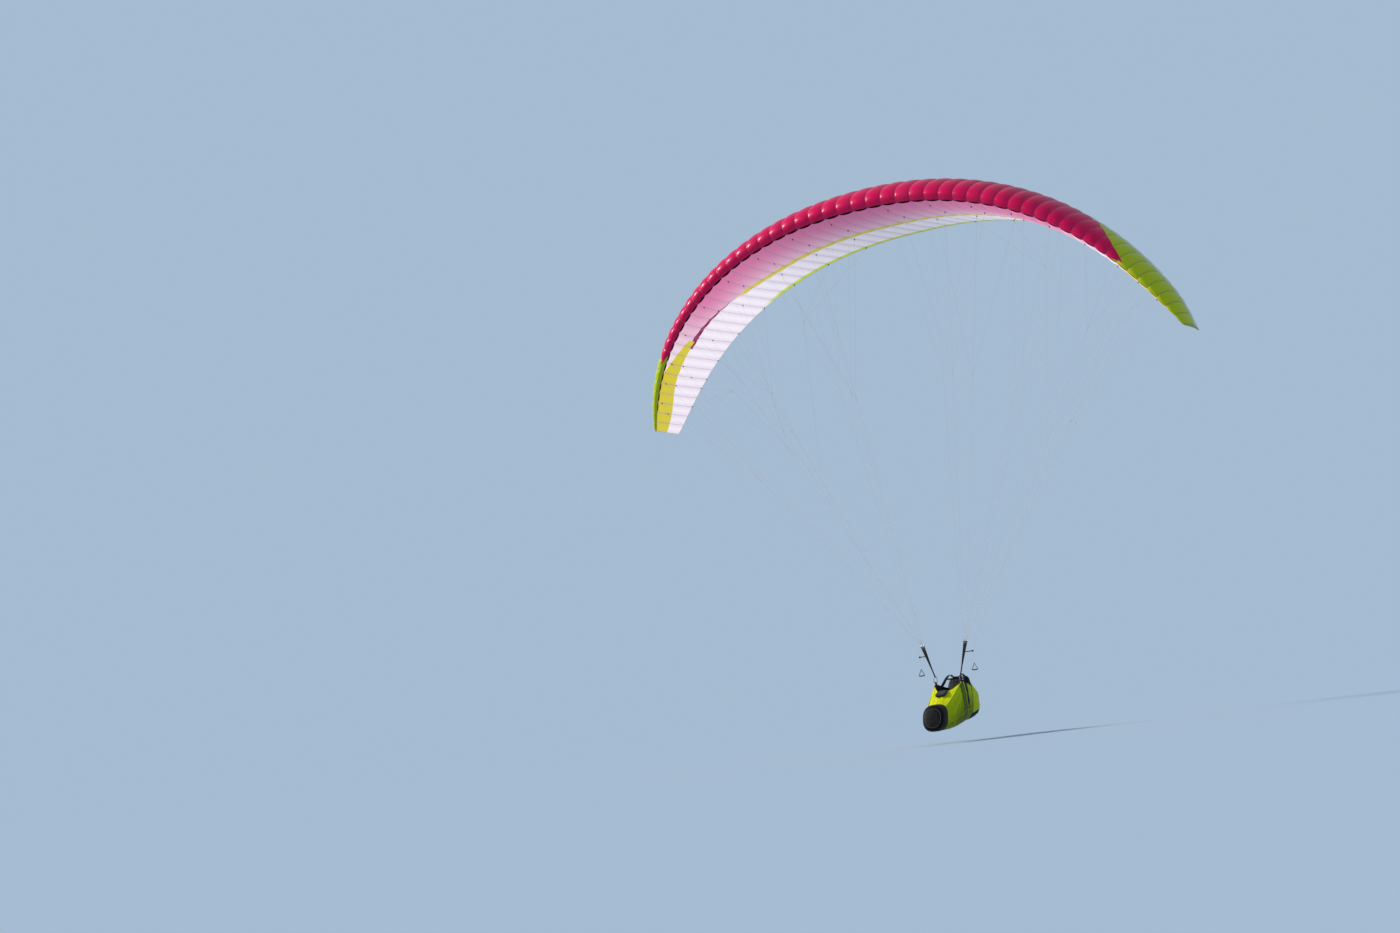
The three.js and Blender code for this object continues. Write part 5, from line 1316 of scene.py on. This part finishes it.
shell_binding = cords("back_shell_binding", [around], BINDING_GIRTH, 8, black_binding)
for piece in (shell, shell_binding):
    settle(piece, "pod_black", "harness", "back_shell")

# Back pad: foam in a black spacer mesh, sewn through in channels across and up its middle, and lying on
# the shell's front. It is filled by Blender's cloth, and the channels are then pressed into it.
PAD_RINGS, PAD_ACROSS, PAD_DEEP, PAD_OFF, PAD_INSET = np.linspace(-0.628, 0.008, 28), 12, 0.022, 0.003, 0.010
PAD_VOXEL, PAD_PRESSURE, PAD_CAP = 0.006, 4.0, 0.010
CHANNELS, CHANNEL_DEEP, CHANNEL_WIDE, CHANNEL_FROM = (-0.52, -0.41, -0.30, -0.19, -0.08), 0.011, 0.013, 0.014


def bake(piece):
    """Keeps what the modifiers make of the piece as its mesh."""
    mesh = bpy.data.meshes.new_from_object(piece.evaluated_get(bpy.context.evaluated_depsgraph_get()))
    piece.modifiers.clear()
    piece.data = mesh


def inflated(piece, voxel, pressure, cap):
    """Fills a closed cloth shell like a cushion, with Blender's cloth, and keeps the result as the mesh."""
    remesh = piece.modifiers.new("remesh", "REMESH")
    remesh.mode, remesh.voxel_size, remesh.use_smooth_shade = "VOXEL", voxel, True
    bake(piece)
    rest = np.array([v.co for v in piece.data.vertices])
    cloth = piece.modifiers.new("filling", "CLOTH")
    cloth.settings.use_pressure = True
    cloth.settings.uniform_pressure_force = pressure
    cloth.settings.effector_weights.gravity = 0
    cloth.settings.quality = 4
    for step in range(1, 21):
        bpy.context.scene.frame_set(step)
    bake(piece)
    bpy.context.scene.frame_set(1)
    moved = np.array([v.co for v in piece.data.vertices]) - rest
    far = np.linalg.norm(moved, axis=1, keepdims=True)
    kept = rest + moved * np.minimum(1, cap / np.maximum(far, 1e-9))
    piece.data.vertices.foreach_set("co", kept.ravel())


pad_rings = []
for z in PAD_RINGS:
    half = np.interp(z, back_table[1:, 0], back_table[1:, 1]) - PAD_INSET
    x = back_front(z) + PAD_OFF
    ring = [(x + PAD_DEEP, u * half, z) for u in np.linspace(-1, 1, PAD_ACROSS)]
    pad_rings.append(ring + [(x, u * half, z) for u in np.linspace(1, -1, PAD_ACROSS)])
mesh_cover = Finish("back_pad_mesh", Roughness=0.8, Specular_IOR_Level=0.2)
knit = mesh_cover.texture("Voronoi", 260.0, {})
mesh_cover.two_tone(knit, (0.006, 0.006, 0.007, 1), (0.035, 0.035, 0.04, 1), 1.0, 0.0010)
pad = shell_piece("back_pad_quilt", np.array(pad_rings) + HIP, mesh_cover)
inflated(pad, PAD_VOXEL, PAD_PRESSURE, PAD_CAP)
for vertex in pad.data.vertices:
    z = vertex.co.z - HIP[2]
    front = vertex.co.x - HIP[0] - back_front(z) - CHANNEL_FROM
    if front > 0:
        sunk = max(math.exp(-(((z - c) / CHANNEL_WIDE) ** 2)) for c in CHANNELS)
        sunk = max(sunk, math.exp(-((vertex.co.y / CHANNEL_WIDE) ** 2)) * 0.8)
        vertex.co.x -= CHANNEL_DEEP * sunk * min(1, front / 0.01)
pad.data.polygons.foreach_set("use_smooth", [True] * len(pad.data.polygons))
softer = pad.modifiers.new("smooth", "SUBSURF")
softer.levels = softer.render_levels = 1
settle(pad, "foam_black", "harness", "back_pad")

# Rear fairing: a pointed hollow tail of lined cloth drawn out behind the back and stretched on the back
# shell, with a black panel underneath, felled seams and a bound front edge.
# Each row of FAIRING: place along it, half width, bottom, top, how much of the back's lean it has.
FAIRING = (
    (-0.890, 0.044, -0.536, -0.410, 0.0), (-0.860, 0.098, -0.570, -0.350, 0.1),
    (-0.764, 0.160, -0.622, -0.244, 0.25), (-0.630, 0.202, -0.668, -0.138, 0.5),
    (-0.490, 0.222, -0.690, -0.060, 0.8), (-0.372, 0.214, -0.690, -0.020, 1.0),
)
FAIRING_HEIGHT, FAIRING_ROWS, FAIRING_SIDES, FAIRING_GAP = -0.330, 88, 128, 0.0012
FAIRING_CLOTH, FAIRING_CUT, FAIRING_WRINKLE, FAIRING_CRUMPLE = 0.004, (1.85, 0.71), -0.0055, 7.0
FAIRING_FOLDS = (
    ((-0.42, 0.200, -0.12), (-0.86, 0.080, -0.40), -0.015, 0.024),
    ((-0.42, 0.215, -0.40), (-0.84, 0.100, -0.50), -0.016, 0.026),
    ((-0.45, 0.195, -0.62), (-0.80, 0.100, -0.56), -0.013, 0.024),
    ((-0.50, 0.110, -0.08), (-0.80, 0.060, -0.28), 0.008, 0.020),
    ((-0.46, 0.215, -0.25), (-0.66, 0.180, -0.60), -0.012, 0.022),
    ((-0.52, 0.215, -0.48), (-0.72, 0.160, -0.20), -0.012, 0.022),
    ((-0.44, 0.060, -0.04), (-0.62, 0.130, -0.16), -0.012, 0.020),
    ((-0.58, 0.200, -0.30), (-0.82, 0.120, -0.34), -0.011, 0.020),
)
TAIL_POINT, TAIL_SWELL, TAIL_RINGS = 0.004, 0.0035, (0.05, 0.35, 0.7, 0.9)
BLACK_TOP, BLACK_BACK, BLACK_SLANT = -0.585, 0.4, 0.20
FAIRING_SEAMS, GIRTH_ROW, EDGE_GIRTH = (32, 0, 64, 96, 16, 48), 44, 0.0036
fairing_rows = []
for x, half, low, high, tilt in FAIRING:
    if tilt == 1:
        x = back_front(FAIRING_HEIGHT) - BACK_SHELL - FAIRING_GAP
    y, z = rounded(half, low, high, FAIRING_SIDES, POD_ROUND)
    fairing_rows.append(np.stack([x - tilt * BACK_LEAN * (z - FAIRING_HEIGHT), y, z], 1))
fairing_grid = smoothed(fairing_rows, FAIRING_ROWS)
from_tail = np.linspace(0, 9, FAIRING_ROWS)
hold = (np.clip(from_tail, 0, 1) * np.clip(from_tail[::-1], 0, 1))[:, None]
fairing_folds = on_both_sides(FAIRING_FOLDS)
fairing_grid, fairing_push = folded(
    fairing_grid, fairing_folds, FAIRING_WRINKLE, FAIRING_CRUMPLE, hold, seed=9.0
)
tail = fairing_grid[0]
tip = tail.mean(axis=0) - [TAIL_POINT, 0, 0]
closing = [tip + (tail - tip) * s - [TAIL_SWELL * (1 - s * s), 0, 0] for s in TAIL_RINGS]
fairing_grid = np.concatenate([closing, fairing_grid])
fairing_push = np.concatenate([np.zeros((len(closing), FAIRING_SIDES)), -fairing_push])
fairing_cloth = Finish("fairing_cloth", Specular_IOR_Level=0.06)
from_back = fairing_cloth.past("X", HIP[0]) + BLACK_BACK
low_panel = fairing_cloth.past("Z", HIP[2]) < BLACK_TOP - from_back * BLACK_SLANT
colour = fairing_cloth.mix(low_panel, (0.50, 0.62, 0.001, 1), (0.016, 0.017, 0.018, 1))
pack_cloth(fairing_cloth, colour, fairing_cloth.mix(0.55, colour, BLACK))
tail_end = [tuple(reversed(range(FAIRING_SIDES)))]
fairing = cloth_piece(
    "fairing_cloth_shell", fairing_grid, fairing_push, FAIRING_CLOTH, fairing_cloth, wrap=True, ends=tail_end
)
outer = fairing_grid + HIP
seam_routes = [outer[1:, k] for k in FAIRING_SEAMS] + [closed(outer[GIRTH_ROW])]
fairing_seams = cords("fairing_seams", seam_routes, FELLED_GIRTH, 6, lime_piping)
fairing_edge = cords("fairing_edge", [closed(outer[-1])], EDGE_GIRTH, 8, black_binding)
sewn_on = [fairing_seams, fairing_edge]
area = sum(face.area for face in fairing.data.polygons)
for piece in (fairing, *sewn_on):
    settle(piece, "pod_black" if piece is fairing_edge else "pod_lime", "harness", "rear_fairing")

# Hang straps: webbing looped round each carabiner's lower bar, sewn together under it and then down the
# inside of the pod's wall, with two boxed crosses of pale thread.
HANG_EYE, HANG_WIDTH, HANG_TAIL_WIDTH, HANG_STEPS = -0.048, 0.036, 0.044, 30
HANG_NECK = ((0.0, -0.0565), (0.0, -0.060), (0.002, -0.068))
TAIL_HIGH, TAIL_LOW, THREAD_INSET = -0.060, -0.330, 0.018
CROSS_HEIGHTS, CROSS_TALL = (-0.09, -0.12, -0.20, -0.23), 0.03
POD_WALL, HANG_PLACE, WALL_GAP = 0.012, 0.022, 0.0012
hang_face = pod_at(HANG_PLACE)[3] - POD_WALL - WALL_GAP
for side_name, side in SIDES:
    wide = (0, side, 0)
    eye = [(x, side * HIP_Y, HANG_EYE + z) for x, z in eye_route(BAR_EYE, -math.pi / 2)]
    neck = smoothed([(0, side * (HIP_Y - inset), z) for inset, z in HANG_NECK], 6)
    down = np.linspace(TAIL_HIGH, TAIL_LOW, HANG_STEPS)
    down = np.array([(0, side * (hang_face - STRAP_THICK / 2), z) for z in down]) + HIP
    routes = [(np.array(eye) + HIP, wide, HANG_WIDTH * 0.98), (neck + HIP, wide, HANG_WIDTH * 0.8)]
    routes.append((down, (1, 0, 0), HANG_TAIL_WIDTH))
    strap = webbing(f"hang_webbing_{side_name}", routes, black_webbing)
    inner_face = down[2:-2] - [0, side * STRAP_THICK * 0.53, 0]
    sewn = [inner_face + [THREAD_INSET, 0, 0], inner_face - [THREAD_INSET, 0, 0]]
    thread_y = side * (hang_face - STRAP_THICK * 1.03)
    for z in CROSS_HEIGHTS:
        cross = ((-1, 0), (1, -CROSS_TALL), (1, 0), (-1, -CROSS_TALL))
        sewn.append(np.array([(THREAD_INSET * way, thread_y, z + drop) for way, drop in cross]) + HIP)
    thread = stitched(f"hang_thread_{side_name}", sewn, thread_pale)
    settle(strap, "webbing_black", "harness", f"hang_strap_{side_name}")
    settle(thread, "webbing_black", "harness")

# Shoulder straps: padded, from the top of the back over the shoulders and down to the hang straps.
# Each row: place and the direction of the width there. Where y is 0 the strap lies on the hang strap.
SHOULDER_PATH = (
    (-0.452, 0.096, 0.0242, 0, 1, 0), (-0.408, 0.096, 0.0242, 0, 1, 0), (-0.368, 0.097, 0.044, 0, 1, 0),
    (-0.310, 0.100, 0.054, 0, 1, 0), (-0.245, 0.108, 0.038, 0.1, 1, 0), (-0.185, 0.124, -0.008, 0.3, 1, 0.2),
    (-0.130, 0.150, -0.075, 0.6, 1, 0.5), (-0.075, 0.182, -0.140, 0.8, 0.6, 0.6),
    (-0.028, 0.0, -0.196, 0.8, 0, 0.62), (0.002, 0.0, -0.234, 0.8, 0, 0.62),
)
SHOULDER_WIDE, SHOULDER_THICK, SHOULDER_STEPS, THREAD_HIGH = 0.044, 0.005, 60, 0.0027
hip_face = hang_face - STRAP_THICK - WALL_GAP - 0.003
for side_name, side in SIDES:
    path = smoothed([(x, side * (y or hip_face), z) for x, y, z, *_ in SHOULDER_PATH], SHOULDER_STEPS) + HIP
    wide = smoothed([(x, side * y, z) for *_, x, y, z in SHOULDER_PATH], SHOULDER_STEPS)
    routes = [(path, wide, SHOULDER_WIDE)]
    strap = webbing(f"shoulder_webbing_{side_name}", routes, black_webbing, SHOULDER_THICK)
    normal = unit(np.cross(np.gradient(path, axis=0), unit(wide)))
    up = np.where((normal[:, 2] > 0)[:, None], normal, -normal)
    sewn = [(path + unit(wide) * way + up * THREAD_HIGH)[3:-3] for way in (-THREAD_INSET, THREAD_INSET)]
    thread = stitched(f"shoulder_thread_{side_name}", sewn, thread_pale)
    settle(strap, "webbing_black", "harness", f"shoulder_strap_{side_name}")
    settle(thread, "webbing_black", "harness")

# Chest strap: narrow webbing between the shoulder straps, closed in the middle by a side-release buckle.
CHEST_BOW, CHEST_DROOP, CHEST_STEPS, CHEST_WIDE, CHEST_THICK = 0.034, 0.2, 31, 0.026, 0.0026
CHEST_LAP, BUCKLE, BUCKLE_CORNER = 0.0006, (0.046, 0.032, 0.010), 0.007
chest_x, chest_y, chest_z = SHOULDER_PATH[5][:3]
chest_end = chest_y - SHOULDER_WIDE / 2 + CHEST_LAP
bowed = [(t, CHEST_BOW * (1 - abs(t))) for t in (-1, -0.5, 0, 0.5, 1)]
chest_path = [(chest_x + bow, t * chest_end, chest_z - bow * CHEST_DROOP) for t, bow in bowed]
chest_path = smoothed(chest_path, CHEST_STEPS) + HIP
chest = webbing("chest_webbing", [(chest_path, (0.45, 0, 1), CHEST_WIDE)], black_webbing, CHEST_THICK)
buckle_at = chest_path[CHEST_STEPS // 2] + [0.001, 0, 0]
buckle = board("chest_buckle", buckle_at, BUCKLE, BUCKLE_CORNER, (1, 0, -0.45), (0.45, 0, 1), plastic)
settle(chest, "webbing_black", "harness", "chest_strap")
settle(buckle, "pulley_plastic", "harness", "chest_strap")

# Cockpit: a slim flight deck lying on the leg cover's rear edge. It is a padded shell of black cloth with
# a piped rim, a raised panel of loop pile for the instruments and a zip along its rear side.
# Each ring of the deck: share of its thickness, share of its outline.
DECK_RINGS = (
    (-0.5, 0.90), (-0.5, 0.96), (-0.42, 0.99), (0.0, 1.0), (0.34, 0.985),
    (0.46, 0.95), (0.50, 0.88), (0.50, 0.70), (0.50, 0.35), (0.50, 0.03),
)
DECK_LONG, DECK_HALF, DECK_THICK, DECK_SIDES, DECK_ROUND = 0.190, 0.088, 0.032, 56, 0.42
RIM_RING, RIM_GIRTH, PILE_SIZE, PILE_CORNER, PILE_OFF = 4, 0.0018, (0.132, 0.140, 0.003), 0.02, 0.0012
ZIP_HALF, ZIP_STEPS, ZIP_PITCH, ZIP_WIDTH, ZIP_SUNK = 0.062, 40, 0.0035, 0.0040, 0.992
deck_corners = np.array([v.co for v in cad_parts["cockpit"].data.vertices])
deck_centre = deck_corners.mean(axis=0)
front_top = deck_corners[np.argsort(deck_corners[:, 0])[-4:]].mean(axis=0)
deck_along = unit(front_top - deck_centre)
deck_along[1] = 0
deck_up = np.cross(deck_along, (0, 1, 0))
deck_up = deck_up if deck_up[2] > 0 else -deck_up
deck_rows = []
for level, inset in DECK_RINGS:
    half_long = DECK_LONG / 2 * inset
    y, along = rounded(DECK_HALF * inset, -half_long, half_long, DECK_SIDES, DECK_ROUND)
    flat = deck_centre + np.outer(y, (0, 1, 0)) + np.outer(along, deck_along)
    deck_rows.append(flat + deck_up * level * DECK_THICK)
deck = shell_piece("cockpit_deck", deck_rows, shell_cloth)
deck_piping = cords("cockpit_piping", [closed(deck_rows[RIM_RING])], RIM_GIRTH, 6, black_binding)
loop_pile = Finish("loop_pile", Roughness=0.95)
curls = loop_pile.texture("Voronoi", 700.0, {})
loop_pile.two_tone(curls, (0.012, 0.012, 0.014, 1), (0.05, 0.05, 0.055, 1), 1.0, 0.001)
pile_centre = deck_centre + deck_up * (DECK_THICK / 2 + PILE_OFF)
pile = board("cockpit_pile", pile_centre, PILE_SIZE, PILE_CORNER, deck_up, deck_along, loop_pile)
zip_metal = Finish("zip_metal", Metallic=0.9, Roughness=0.4)
zip_metal.two_tone(zip_metal.noise(400.0), (0.10, 0.10, 0.11, 1), (0.22, 0.22, 0.23, 1))
rear = deck_centre - deck_along * (DECK_LONG / 2 * ZIP_SUNK)
zip_side = [rear + [0, y, 0] for y in np.linspace(-ZIP_HALF, ZIP_HALF, ZIP_STEPS)]
deck_zip = stitched("cockpit_zip", [zip_side], zip_metal, ZIP_PITCH, ZIP_WIDTH)
for piece in (deck, deck_piping, pile, deck_zip):
    settle(piece, "pod_black", "harness", "cockpit")
